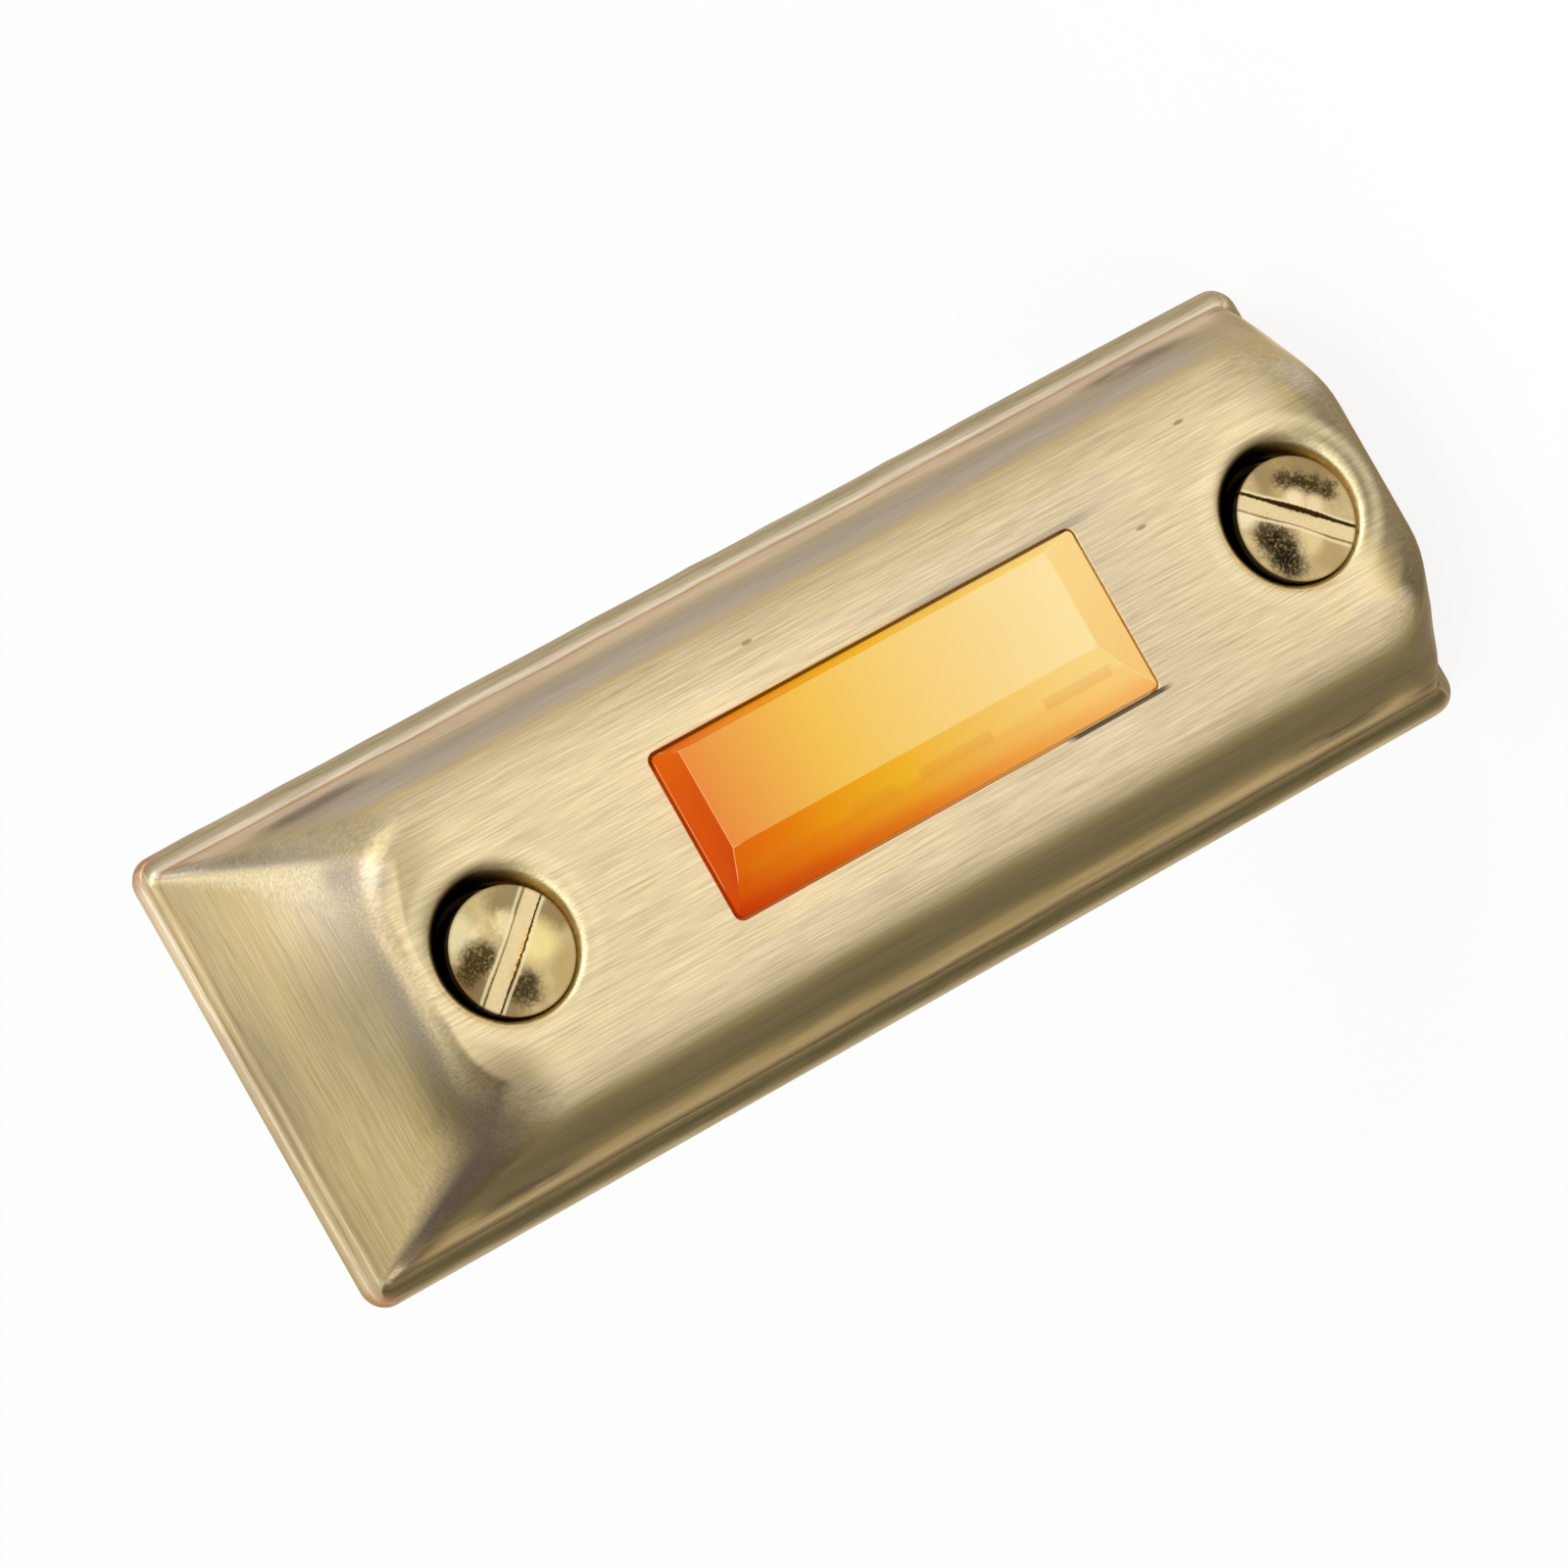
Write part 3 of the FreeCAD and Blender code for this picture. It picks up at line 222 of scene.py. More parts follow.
class Wire:
    """An output socket. Arithmetic on it adds nodes to its tree."""

    def __init__(self, tree, socket):
        self.tree, self.socket = tree, socket

    __abs__ = arithmetic("ABSOLUTE")
    __add__ = __radd__ = arithmetic("ADD")
    __sub__, __rsub__ = arithmetic("SUBTRACT"), arithmetic("SUBTRACT", swapped=True)
    __mul__ = __rmul__ = arithmetic("MULTIPLY")
    __truediv__ = arithmetic("DIVIDE")

    def step(self, low, high, kind="SMOOTHSTEP"):
        """From 0 at low to 1 at high. Low may be above high."""
        ends = sorted((low, high))
        inputs = {"Value": self, "From Min": ends[0], "From Max": ends[1]}
        rising = self.tree.add("ShaderNodeMapRange", inputs, interpolation_type=kind)
        return 1.0 - rising if low > high else rising

    def within(self, low, high, blur):
        """1 between two values, with both ends blurred outwards."""
        return self.step(low - blur, low) * self.step(high + blur, high)

    def hump(self, centre, spread):
        """1 at the centre, falling smoothly to 0 at the spread on either side."""
        return abs(self - centre).step(spread, 0.0)


def length(across, along):
    """The length of the offset that two wires give."""
    return across.tree.math("SQRT", across * across + along * along)


class Tree:
    """A node tree that is written as expressions."""

    def __init__(self, tree):
        self.tree = tree

    def feed(self, socket, value):
        if isinstance(value, Wire):
            self.tree.links.new(value.socket, socket)
        else:
            socket.default_value = value

    def add(self, kind, inputs=(), output=0, **settings):
        node = self.tree.nodes.new(kind)
        for name, value in settings.items():
            setattr(node, name, value)
        for key, value in inputs.items() if isinstance(inputs, dict) else enumerate(inputs):
            self.feed(node.inputs[key], value)
        return Wire(self, node.outputs[output])

    def end(self, kind, surface):
        """Lead the finished surface or geometry out of the tree."""
        self.feed(self.tree.nodes.new(kind).inputs[0], surface)

    def math(self, operation, *values, clamp=False):
        return self.add("ShaderNodeMath", values, operation=operation, use_clamp=clamp)

    def split(self, vector):
        """The three parts of a vector."""
        node = self.add("ShaderNodeSeparateXYZ", [vector]).socket.node
        return [Wire(self, socket) for socket in node.outputs]

    def point(self, x, y, z):
        return self.add("ShaderNodeCombineXYZ", [x, y, z])


# Hues of the brass: clean gold, and the grey that dulls it, for patina and for painted grey
# reflections alike
GOLD = (1.0, 0.885, 0.6)
DULL_GREY = (1.0, 0.955, 0.95)


def aged(light, greyness):
    """The display bytes of brass at this lightness and this greyness, both in per cent."""
    return tuple(
        light * 2.55 * (bright + (dull - bright) * greyness / 100) for bright, dull in zip(GOLD, DULL_GREY)
    )


class Paint(Tree):
    """A material's tree. Places are in millimetres of the row frame."""

    def __init__(self, name):
        self.material = bpy.data.materials.new(name)
        self.material.use_nodes = True
        super().__init__(self.material.node_tree)
        self.tree.nodes.clear()
        place = self.add("ShaderNodeTexCoord", output="Object")
        self.place = self.add("ShaderNodeVectorMath", [place, (1 / MM,) * 3], operation="MULTIPLY")
        self.x, self.y, self.z = self.split(self.place)
        self.depth = self.y * -1.0

    def mark(self, name):
        """A value that the mesh carries at its points."""
        return self.add("ShaderNodeAttribute", output="Fac", attribute_name=name)

    def grain(self, scale, detail=3.0, roughness=0.55, where=None):
        """Noise round 0.5. The scale is cycles per millimetre, one for all axes or one for each."""
        vectors = [where or self.place, scale if isinstance(scale, tuple) else (scale,) * 3]
        place = self.add("ShaderNodeVectorMath", vectors, operation="MULTIPLY")
        inputs = {"Vector": place, "Scale": 1.0, "Detail": detail, "Roughness": roughness}
        return self.add("ShaderNodeTexNoise", inputs)

    def mix(self, amount, first, second, blend="MIX"):
        """Between two colours, each a wire or three display bytes."""
        node = self.tree.nodes.new("ShaderNodeMix")
        node.data_type = "RGBA"
        node.blend_type = blend
        self.feed(node.inputs[0], amount)
        for socket, value in ((node.inputs[6], first), (node.inputs[7], second)):
            self.feed(socket, colour(value) if isinstance(value, tuple) else value)
        return Wire(self, node.outputs[2])

    def coat(self, tone, *layers):
        """Lay (share, colour) layers over a tone, one after the other."""
        for share, over in layers:
            tone = self.mix(share, tone, over)
        return tone

    def between(self, amount, first, second):
        """Between two numbers."""
        node = self.tree.nodes.new("ShaderNodeMix")
        for index, value in ((0, amount), (2, first), (3, second)):
            self.feed(node.inputs[index], value)
        return Wire(self, node.outputs[0])

    def scaled(self, tone, factor):
        """A colour made lighter or darker."""
        return self.add("ShaderNodeVectorMath", {0: tone, "Scale": factor}, operation="SCALE")

    def ramp(self, value, *stops):
        """Colours along a value, from (value, display bytes) stops."""
        low, high = stops[0][0], stops[-1][0]
        wire = self.add("ShaderNodeValToRGB", [value.step(low, high, "LINEAR")])
        elements = wire.socket.node.color_ramp.elements
        while len(elements) < len(stops):
            elements.new(1.0)
        for element, (at, tone) in zip(elements, stops):
            element.position = (at - low) / (high - low)
            element.color = colour(tone)
        return wire

    def patina(self, value, *stops):
        """Tones of brass along a value, its patina together with painted reflections and shade,
        from (value, lightness, greyness) stops.
        """
        return self.ramp(value, *((at, aged(light, greyness)) for at, light, greyness in stops))

    def bump(self, height, distance, strength):
        """A bump from a height between 0 and 1, which stands for a distance in millimetres."""
        inputs = {"Height": height, "Distance": distance * MM, "Strength": strength}
        return self.add("ShaderNodeBump", inputs)

    def surface(self, **sockets):
        """Finish the material. The sockets' names have underscores for their spaces."""
        shader = self.tree.nodes.new("ShaderNodeBsdfPrincipled")
        for name, value in sockets.items():
            value = colour(value) if isinstance(value, tuple) and len(value) == 3 else value
            self.feed(shader.inputs[name.replace("_", " ")], value)
        self.end("ShaderNodeOutputMaterial", Wire(self, shader.outputs[0]))
        return self.material


class GeometryTree(Tree):
    """A geometry node tree with named inputs, which makes one piece's mesh."""

    def __init__(self, name, **inputs):
        super().__init__(bpy.data.node_groups.new(name, "GeometryNodeTree"))
        face = self.tree.interface
        face.new_socket("Geometry", in_out="OUTPUT", socket_type="NodeSocketGeometry")
        self.defaults, self.sockets = inputs, {}
        for label, value in {**inputs, "Material": None}.items():
            kind = {int: "Int", float: "Float"}.get(type(value), "Material")
            socket = face.new_socket(label, in_out="INPUT", socket_type=f"NodeSocket{kind}")
            socket.default_value = value
            self.sockets[label] = socket
        source = self.tree.nodes.new("NodeGroupInput")
        self.given = {label: Wire(self, source.outputs[label]) for label in self.sockets}

    def moved(self, geometry, radius, turn, along):
        """The geometry with its points set round the Y axis."""
        x, z = (radius * self.math(part, turn) for part in ("COSINE", "SINE"))
        inputs = {"Geometry": geometry, "Position": self.point(x, along, z)}
        return self.add("GeometryNodeSetPosition", inputs)

    def finish(self, geometry):
        """Make what comes out real, and give it its material."""
        real = self.add("GeometryNodeRealizeInstances", [geometry])
        inputs = {"Geometry": real, "Material": self.given["Material"]}
        self.end("NodeGroupOutput", self.add("GeometryNodeSetMaterial", inputs))
        return self

    def make(self, name, material, place, **values):
        """The tree's mesh with these inputs, as a plain mesh moved to its place."""
        holder = bpy.data.objects.new(name, bpy.data.meshes.new(name))
        bpy.context.scene.collection.objects.link(holder)
        modifier = holder.modifiers.new(name, "NODES")
        modifier.node_group = self.tree
        for label, value in {**self.defaults, **values, "Material": material}.items():
            modifier[self.sockets[label].identifier] = value
        graph = bpy.context.evaluated_depsgraph_get()
        mesh = bpy.data.meshes.new_from_object(holder.evaluated_get(graph))
        bpy.data.objects.remove(holder)
        mesh.name = name
        mesh.transform(place)
        weld(mesh)
        return mesh


# Sizes of the cover that the model's box doesn't give, in millimetres. Pairs: long walls, end walls
SHEET = 0.9
FOOT_INSET = (1.0, 0.75)
LEAN = (3.25, 3.7)
LIP_CORNER = 1.4
FOOT_CORNER = 0.6
RIDGE_CORNER = 5.6
RIDGE_ROUND = 1.8
COVE_ROUND = 0.5
HOLLOW_CORNER = 2.3
SCREW_FROM_END = 10.3
WELL_RIM = 4.36
WELL_FOOT = 3.56
WELL_SHIFT = -0.33
WELL_DEPTH = 2.1
CUP_RADIUS = 4.5
SCREW_HOLE = 2.35
WINDOW = (9.4, 26.65, 0.47)
PLATE_LOW, _, PLATE_HIGH = box_mm("cover")
HALF_WIDTH, HALF_LENGTH = PLATE_HIGH.x, PLATE_HIGH.z
FOOT = (HALF_WIDTH - FOOT_INSET[0], HALF_LENGTH - FOOT_INSET[1])
FRONT = -PLATE_LOW.y
SLOPES = [lean / (FRONT - SHEET) for lean in LEAN]
SCREW_PLACE = HALF_LENGTH - SCREW_FROM_END
BAR_GAP = 0.15
BAR_HALF = (WINDOW[0] / 2 - BAR_GAP, WINDOW[1] / 2 - BAR_GAP)
BAR_CORNERS = (0.75, 0.32)  # Plan radius of the bar's corners in the solid, and here

# Steps of a loop round the walls and the window, for a corner, a long and an end side, and steps up
WALL_STEPS = (14, 140, 44)
WINDOW_STEPS = (8, 60, 24)
COVE_STEPS, RISE_STEPS, RIDGE_STEPS = 10, 28, 18
LIP_BACK = [(0.05, 0.0), (0.0, 0.06)]  # How far in and how deep the lip's back edge goes
HOLLOW_DEPTHS = (0.0, SHEET, 6.0, 8.0, 9.5)
RIM_FLAT, FOOT_ROUND, HOLE_ROUND, CUP_ROUND = 0.04, 0.12, 0.1, 0.3
PAST_FRONT = {"run": 20.0, "end": 0.0}  # Marks inside the holes, beyond those of the front


def plan_loop(half_x, half_z, corner, depth, counts):
    """A rounded rectangle at a depth, with counts of steps for a corner, a long and an end side.

    Returns the points, and for each how much it faces an end: 0 on a long side, 1 on an end.
    """
    corner_steps, long_steps, end_steps = counts
    arcs = []
    for quarter, (side, way) in enumerate(((1, 1), (-1, 1), (-1, -1), (1, -1))):
        x, z = side * (half_x - corner), way * (half_z - corner)
        turns = [(quarter + i / corner_steps) * pi / 2 for i in range(corner_steps + 1)]
        arcs.append([(x + corner * cos(t), z + corner * sin(t), sin(t) ** 2) for t in turns])
    places = []
    for index, arc in enumerate(arcs):
        x, z, facing = arc[-1]
        next_x, next_z, _ = arcs[(index + 1) % 4][0]
        steps = long_steps if index % 2 else end_steps
        places += arc
        for i in range(1, steps):
            share = i / steps
            places.append((x + (next_x - x) * share, z + (next_z - z) * share, facing))
    return [(x, -depth, z) for x, z, _ in places], [facing for *_, facing in places]


def circle_loop(radius, depth, z, steps=96, x=0.0):
    """A circle about an axis along Y."""
    turns = [2 * pi * i / steps for i in range(steps)]
    return [(x + radius * cos(turn), -depth, z + radius * sin(turn)) for turn in turns]


def arc_steps(start, end, count):
    return [start + (end - start) * i / count for i in range(count + 1)]


def wall_corner(depth):
    """Plan radius of the cover's corners, from the foot to the ridge, where it grows fastest."""
    share = max(0.0, depth - SHEET) / (FRONT - SHEET)
    return FOOT_CORNER + (RIDGE_CORNER - FOOT_CORNER) * share**1.4


def wall_inward(depth, slope):
    """How far a wall has come in from its foot at a depth, with its cove and its rounded ridge."""
    level = depth - SHEET
    turn = pi / 2 - atan(slope)
    if level < COVE_ROUND * (1 - cos(turn)):
        return sqrt(COVE_ROUND**2 - (COVE_ROUND - level) ** 2) - COVE_ROUND * tan(turn / 2)
    below = depth - (FRONT - RIDGE_ROUND)
    if below > RIDGE_ROUND * sin(atan(slope)):
        centre = slope * (FRONT - SHEET) + RIDGE_ROUND * tan(turn / 2)
        return centre - sqrt(max(RIDGE_ROUND**2 - below**2, 0.0))
    return slope * level


def cover_depths():
    """Depths of the loops round the walls, from the lip's flat to the front."""
    turn = pi / 2 - atan(sum(SLOPES) / 2)
    cove = [SHEET + COVE_ROUND * (1 - cos(angle)) for angle in arc_steps(0.0, turn, COVE_STEPS)]
    low, high = cove[-1], FRONT - RIDGE_ROUND * (1 - cos(turn))
    wall = [low + (high - low) * i / RISE_STEPS for i in range(1, RISE_STEPS)]
    ridge = arc_steps(pi / 2 - turn, pi / 2, RIDGE_STEPS)
    return cove + wall + [FRONT - RIDGE_ROUND * (1 - sin(angle)) for angle in ridge]


def wall_loop(depth, shift=0.0):
    """Half width, half length, corner radius and depth of a loop round the walls, shifted in."""
    inward = [wall_inward(depth, slope) for slope in SLOPES]
    past_wall = sum(i - slope * (depth - SHEET) for i, slope in zip(inward, SLOPES)) / 2
    corner = wall_corner(depth) - past_wall - shift
    return FOOT[0] - inward[0] - shift, FOOT[1] - inward[1] - shift, corner, depth


def outer_loops(shell, edge):
    """The lip with its rounded front edge, and the walls up to the front."""
    arc = arc_steps(0.0, pi / 2, 6)
    lip = LIP_BACK + [(edge * (1 - cos(turn)), SHEET - edge + edge * sin(turn)) for turn in arc]
    sections = [
        (HALF_WIDTH - inset, HALF_LENGTH - inset, LIP_CORNER - inset, depth) for inset, depth in lip
    ]
    sections += [wall_loop(depth) for depth in cover_depths()]
    sections.append(wall_loop(FRONT, 0.03))
    loops, run, before = [], 0.0, None
    for section in sections:
        if before:
            run += hypot(section[0] - before[0], section[3] - before[3])
        before = section
        points, faces_end = plan_loop(*section, WALL_STEPS)
        loops.append(shell.loop(points, run=run, end=faces_end))
    return loops


def inner_loops(shell):
    """The hollow behind the sheet, from the wall up to the back of the front."""
    top, round_in = FRONT - SHEET, RIDGE_ROUND - SHEET
    depths = [*HOLLOW_DEPTHS, top - 2.0]
    depths += [top - round_in * (1 - sin(angle)) for angle in arc_steps(0.24, pi / 2, 5)]
    loops = []
    for depth in depths:
        below = max(0.0, depth - (top - round_in))
        past = round_in - sqrt(max(round_in**2 - below**2, 0.0))
        inward = [slope * (depth - SHEET) + past for slope in SLOPES]
        half_x, half_z = FOOT[0] - SHEET - inward[0], FOOT[1] - SHEET - inward[1]
        corner = max(HOLLOW_CORNER, wall_corner(depth + SHEET) - SHEET) - past
        points, faces_end = plan_loop(half_x, half_z, corner, depth, WALL_STEPS)
        loops.append(shell.loop(points, run=0.0, end=faces_end))
    return loops


def well_rows(rim):
    """Radius, depth and shift across of the circles of a screw well, from its rim to its back."""
    rows = [(WELL_RIM + RIM_FLAT, FRONT, 0.0)]
    for angle in arc_steps(0.0, pi / 2, 14):
        down = 1 - cos(angle)
        radius = WELL_RIM - (WELL_RIM - WELL_FOOT) * sin(angle)
        rows.append((radius, FRONT - rim * down, WELL_SHIFT * down))
    floor = FRONT - WELL_DEPTH
    back = floor - SHEET
    return rows + [
        (WELL_FOOT, floor + FOOT_ROUND, WELL_SHIFT), (WELL_FOOT - FOOT_ROUND, floor, WELL_SHIFT),
        (SCREW_HOLE + HOLE_ROUND, floor, 0.0), (SCREW_HOLE, floor - HOLE_ROUND, 0.0),
        (SCREW_HOLE, back, 0.0), (CUP_RADIUS - CUP_ROUND, back, 0.0),
        (CUP_RADIUS, back + CUP_ROUND, 0.0), (CUP_RADIUS, FRONT - SHEET, 0.0),
    ]


def window_rows(edge):
    """How far out and at which depth the loops of the window lie."""
    rows = [(edge + 0.06, FRONT)]
    for angle in arc_steps(0.0, pi / 2, 4):
        rows.append((edge * (1 - sin(angle)), FRONT - edge * (1 - cos(angle))))
    return rows + [(0.0, FRONT - SHEET + 0.05), (0.05, FRONT - SHEET)]


def build_cover(settings):
    """Pressed shell: lip, coves, leaning walls, rounded ridge, and its holes with rounded edges."""
    shell = Shell()
    outside = outer_loops(shell, settings.edge_round / MM)
    shell.skin(outside)
    inside = inner_loops(shell)
    shell.bridge(outside[0], inside[0])
    shell.skin(inside)
    holes = []
    for _, way in ENDS:
        rows = well_rows(settings.rim_round / MM)
        circles = [circle_loop(radius, depth, way * SCREW_PLACE, x=x) for radius, depth, x in rows]
        holes.append([shell.loop(circle, **PAST_FRONT) for circle in circles])
    half_x, half_z, corner = WINDOW[0] / 2, WINDOW[1] / 2, WINDOW[2]
    opening = []
    for out, depth in window_rows(settings.window_round / MM):
        points, _ = plan_loop(half_x + out, half_z + out, corner + out, depth, WINDOW_STEPS)
        opening.append(shell.loop(points, **PAST_FRONT))
    holes.append(opening)
    for hole in holes:
        shell.skin(hole)
    shell.fill(outside[-1], [hole[0] for hole in holes])
    shell.fill(inside[-1], [hole[-1] for hole in holes])
    ripple_walls(shell, [i for loop in outside[2:-1] for i in loop], settings.ripple / MM)
    return make_piece("cover_shell", shell, 40.0)


def ripple_walls(shell, indices, height):
    """Press marks: the walls and the lip aren't quite flat."""
    for index in indices:
        x, y, z = shell.points[index]
        fade = min(1.0, max(0.0, (FRONT + y) / 2.0))
        shift = height * fade * noise.noise(Vector((x * 0.16, y * 0.25, z * 0.16 + 3.0)))
        reach = hypot(x, z * 0.3) or 1.0
        shell.points[index] = (x - abs(shift) * x / reach, y, z - abs(shift) * z * 0.3 / reach)


# Tones in display bytes, and levels on the front, in millimetres
SHEEN = (255, 238, 205)
GAP_LIT = (226, 196, 136)
CORNER_SHADE = (-6.6, 28.6)
NICKS = ((7.3, 5.5), (6.7, -21.6), (2.9, -16.8))
NICK_HALF = (0.14, 0.42)
PLATEAU = 16.1  # "run" where the front becomes flat
BRUSHES = (((4.2, 4.2, 0.1), (0.12, 4.4, 4.4)), ((9.0, 9.0, 0.26), (0.28, 9.5, 9.5)))


def paint_brass(settings):
    """Antique brass: brushed golden front, grey-brown patina on the walls with painted reflections
    and shade over it, and painted shade and highlights on the hips and in the wells.

    The mark "run" is the way up a wall from the lip's back edge, "end" is 1 on the end walls.
    """
    p = Paint("antique_brass")
    run, end, shade_and_smudge = p.mark("run"), p.mark("end"), settings.patina
    wander = p.grain(0.5, 3.0, 0.6, p.point(p.x * 0.3, p.depth, p.z * 0.06))
    band = run + (wander - 0.5) * (1.6 * run.step(2.0, 4.0) * run.step(14.6, 12.0))
    # The front's tones hold painted shade: darker at its far end, and darker towards its long
    # ridges.
    front = p.patina(
        p.z, (-29.1, 54, 20), (-28.4, 63, 19), (-27.9, 75, 12), (-27.3, 89, 26), (-26.8, 96, 30),
        (-26.0, 96, 37), (-24.5, 91, 33), (-14.0, 86, 42), (-5.0, 87, 42), (8.0, 93, 35),
        (21.0, 89, 35), (28.0, 90, 30),
    )
    ridge_shade = p.patina(
        p.x, (-7.1, 85, 38), (-6.2, 89, 42), (-5.2, 99, 80), (-4.6, 100, 115), (4.6, 100, 115),
        (5.3, 97, 72), (6.0, 90, 43), (7.1, 85, 30),
    )
    front = p.mix(0.9, front, p.mix(1.0, front, ridge_shade, "DARKEN"))
    # The walls' tones carry painted light and shade over the patina's bands and painted
    # reflections: the long wall on the low side is painted shaded and the one on the high side lit,
    # and the end walls go from painted shade on the low side to lit on the high side.
    shaded_side_walls = p.patina(
        band, (0.0, 59, 11), (0.8, 75, 33), (1.15, 46, 0), (1.5, 38, -4), (1.8, 50, 9),
        (2.1, 94, 41), (3.0, 98, 37), (3.8, 82, 24), (5.8, 53, 16), (7.0, 41, 32), (8.2, 34, 44),
        (11.6, 38, 32), (12.8, 44, 26), (13.9, 55, 20), (15.2, 80, 32), (PLATEAU, 86, 37),
    )
    lit_side_walls = p.patina(
        band, (0.0, 71, 39), (0.75, 72, 46), (1.1, 64, 27), (1.35, 71, 36), (1.7, 89, 62),
        (2.5, 99, 86), (4.0, 89, 75), (5.4, 75, 60), (6.9, 68, 79), (8.4, 66, 89), (9.8, 69, 92),
        (11.3, 71, 81), (12.7, 73, 52), (14.0, 80, 37), (PLATEAU, 85, 31),
    )
    shaded_end_walls = p.patina(
        run, (0.0, 69, 14), (0.9, 81, 38), (1.5, 75, 30), (3.2, 74, 16), (6.8, 78, 16),
        (9.0, 76, 16), (10.5, 73, 11), (11.4, 68, 8), (13.2, 47, 10), (14.1, 45, 20),
        (14.7, 49, 30), (PLATEAU, 47, -4),
    )
    half_lit_end_walls = p.patina(
        run, (0.0, 71, 23), (0.9, 82, 45), (1.45, 67, 18), (2.3, 72, 36), (2.9, 70, 28),
        (5.0, 76, 19), (6.6, 75, 22), (10.8, 68, 27), (12.2, 70, 27), (14.3, 63, 51),
        (14.75, 63, 40), (15.2, 78, 33), (PLATEAU, 82, 21),
    )
    lit_end_walls = p.patina(
        run, (0.0, 79, 34), (0.9, 92, 54), (1.4, 80, 19), (2.3, 81, 32), (3.2, 80, 25),
        (6.8, 84, 18), (9.6, 91, 34), (12.3, 91, 53), (13.2, 90, 53), (PLATEAU, 81, 37),
    )
    side = p.x.step(-3.0, 3.0)
    ends = p.coat(shaded_end_walls, (p.x.step(-6.5, 0.5), half_lit_end_walls), (p.x.step(0.5, 7.5), lit_end_walls))
    far_end = p.z.step(-27.6, -28.6) * end.step(0.3, 0.7) * 0.8
    off_corner = length(p.x - CORNER_SHADE[0], p.z - CORNER_SHADE[1])
    tone = p.coat(
        p.mix(side, shaded_side_walls, lit_side_walls), (end.step(0.4, 0.6), ends), (far_end, (128, 113, 86)),
        (run.step(15.7, PLATEAU), p.scaled(front, 1.06)),
        (off_corner.step(3.6, 1.0) * run.step(10.0, 13.5) * 0.62, (118, 101, 72)),
    )

    # Hips: painted shade on the low side, and on the other a painted highlight, painted shade in
    # the brushed hatching beside it and a painted pinkish reflection at the ridge corner. Smudges
    # where the long coves end
    along = abs(p.z)
    from_hip = FOOT[1] - (p.depth - SHEET) * SLOPES[1] - along
    frayed = p.grain(0.9) - 0.5
    at_hip = (from_hip + frayed * 1.6).step(3.4, 0.9) * end.step(0.95, 0.45)
    hip_shade = at_hip * p.x.step(1.0, -3.0) * run.step(1.8, 4.0) * run.step(16.6, 14.4)
    high_side = p.x.step(-1.0, 3.0)
    olive = from_hip.step(6.5, 2.5) * end.step(0.55, 0.35) * high_side * run.step(5.5, 7.5)
    combed_shade = (from_hip + frayed * 1.2).step(2.0, 0.5) * end.step(0.5, 0.2)
    combed_shade = combed_shade * high_side * run.step(1.8, 3.0) * run.step(15.0, 12.0)
    hip_highlight = end.hump(0.72, 0.3) * high_side * run.step(0.8, 1.8) * run.step(14.5, 11.5)
    ridge_reflection = end.hump(0.66, 0.3) * high_side * run.step(12.0, 13.5) * run.step(16.6, 15.4)
    spot = along.step(21.5, 25.0) * along.step(30.5, 27.5) * band.hump(5.2, 2.5)
    spot = spot * end.step(0.3, 0.1) * (0.4 + p.grain((0.9, 0.9, 0.3)).step(0.3, 0.5) * 0.6)
    smudge = p.mix(side, (80, 74, 72), (118, 110, 110))
    tone = p.coat(
        tone, (hip_shade * 0.8 * shade_and_smudge, (98, 84, 72)), (olive * 0.7, (178, 161, 124)),
        (combed_shade * 0.6 * shade_and_smudge, (120, 108, 78)), (hip_highlight * 0.75, (246, 230, 188)),
        (ridge_reflection * 0.9, (196, 179, 156)), (spot * 0.9 * shade_and_smudge, smudge),
    )

    # Nicks in the front, the shade along two edges of the window, copper at the lip's worn corners
    for x, z in NICKS:
        nick = length((p.x - x) / NICK_HALF[0], (p.z - z) / NICK_HALF[1]).step(1.0, 0.5)
        tone = p.mix(nick * 0.6, tone, (110, 94, 66))
    half = WINDOW[0] / 2
    low_edge = p.x.within(-half - 0.2, -half, 0.05) * p.z.within(-13.2, -8.0, 1.0)
    high_edge = p.x.within(half, half + 0.25, 0.15) * p.z.within(-13.0, -4.0, 3.0)
    corner = abs(p.x).step(HALF_WIDTH - 2.0, HALF_WIDTH - 0.4) * run.step(1.5, 0.9)
    copper = corner * p.z.step(HALF_LENGTH - 2.2, HALF_LENGTH - 0.6) * 0.55
    tone = p.coat(
        tone, (low_edge * 0.85, (52, 38, 22)), (high_edge * 0.5, (150, 140, 134)),
        (copper, (176, 112, 88)),
    )

    # Wells: a painted highlight round each rim, the rolled rim painted lit on its lower side and in
    # brown shade on its upper side, a painted reflection at its edge, black where the screw's
    # shadow is painted, and painted shade deep in the well, lit on the side away from that shadow
    off_end = along - SCREW_PLACE
    from_axis = length(p.x, off_end)
    to_z = off_end * p.math("SIGN", p.z) / (from_axis + 0.01)
    to_x = p.x / (from_axis + 0.01)
    shaded = to_z + to_x * 0.35
    rim_light_and_shade = p.mix((to_x + to_z * 0.3).step(0.05, 0.85), (246, 230, 182), (150, 132, 94))
    rim_reflection = from_axis.hump(4.22, 0.2) * (to_z - to_x).step(0.5, 1.2)
    tone = p.coat(
        tone, (from_axis.hump(4.85, 0.6) * 0.45, (244, 228, 182)),
        (from_axis.step(WELL_RIM + 0.1, WELL_RIM - 0.5), rim_light_and_shade), (rim_reflection * 0.5, (196, 160, 84)),
        (shaded.step(-0.2, 0.4) * from_axis.step(4.1, 3.68), (30, 22, 10)),
        (from_axis.step(4.3, 4.2) * p.depth.step(FRONT - 1.2, FRONT - 1.8),
         p.mix(shaded.step(-0.6, 0.2), GAP_LIT, (30, 20, 8))),
    )

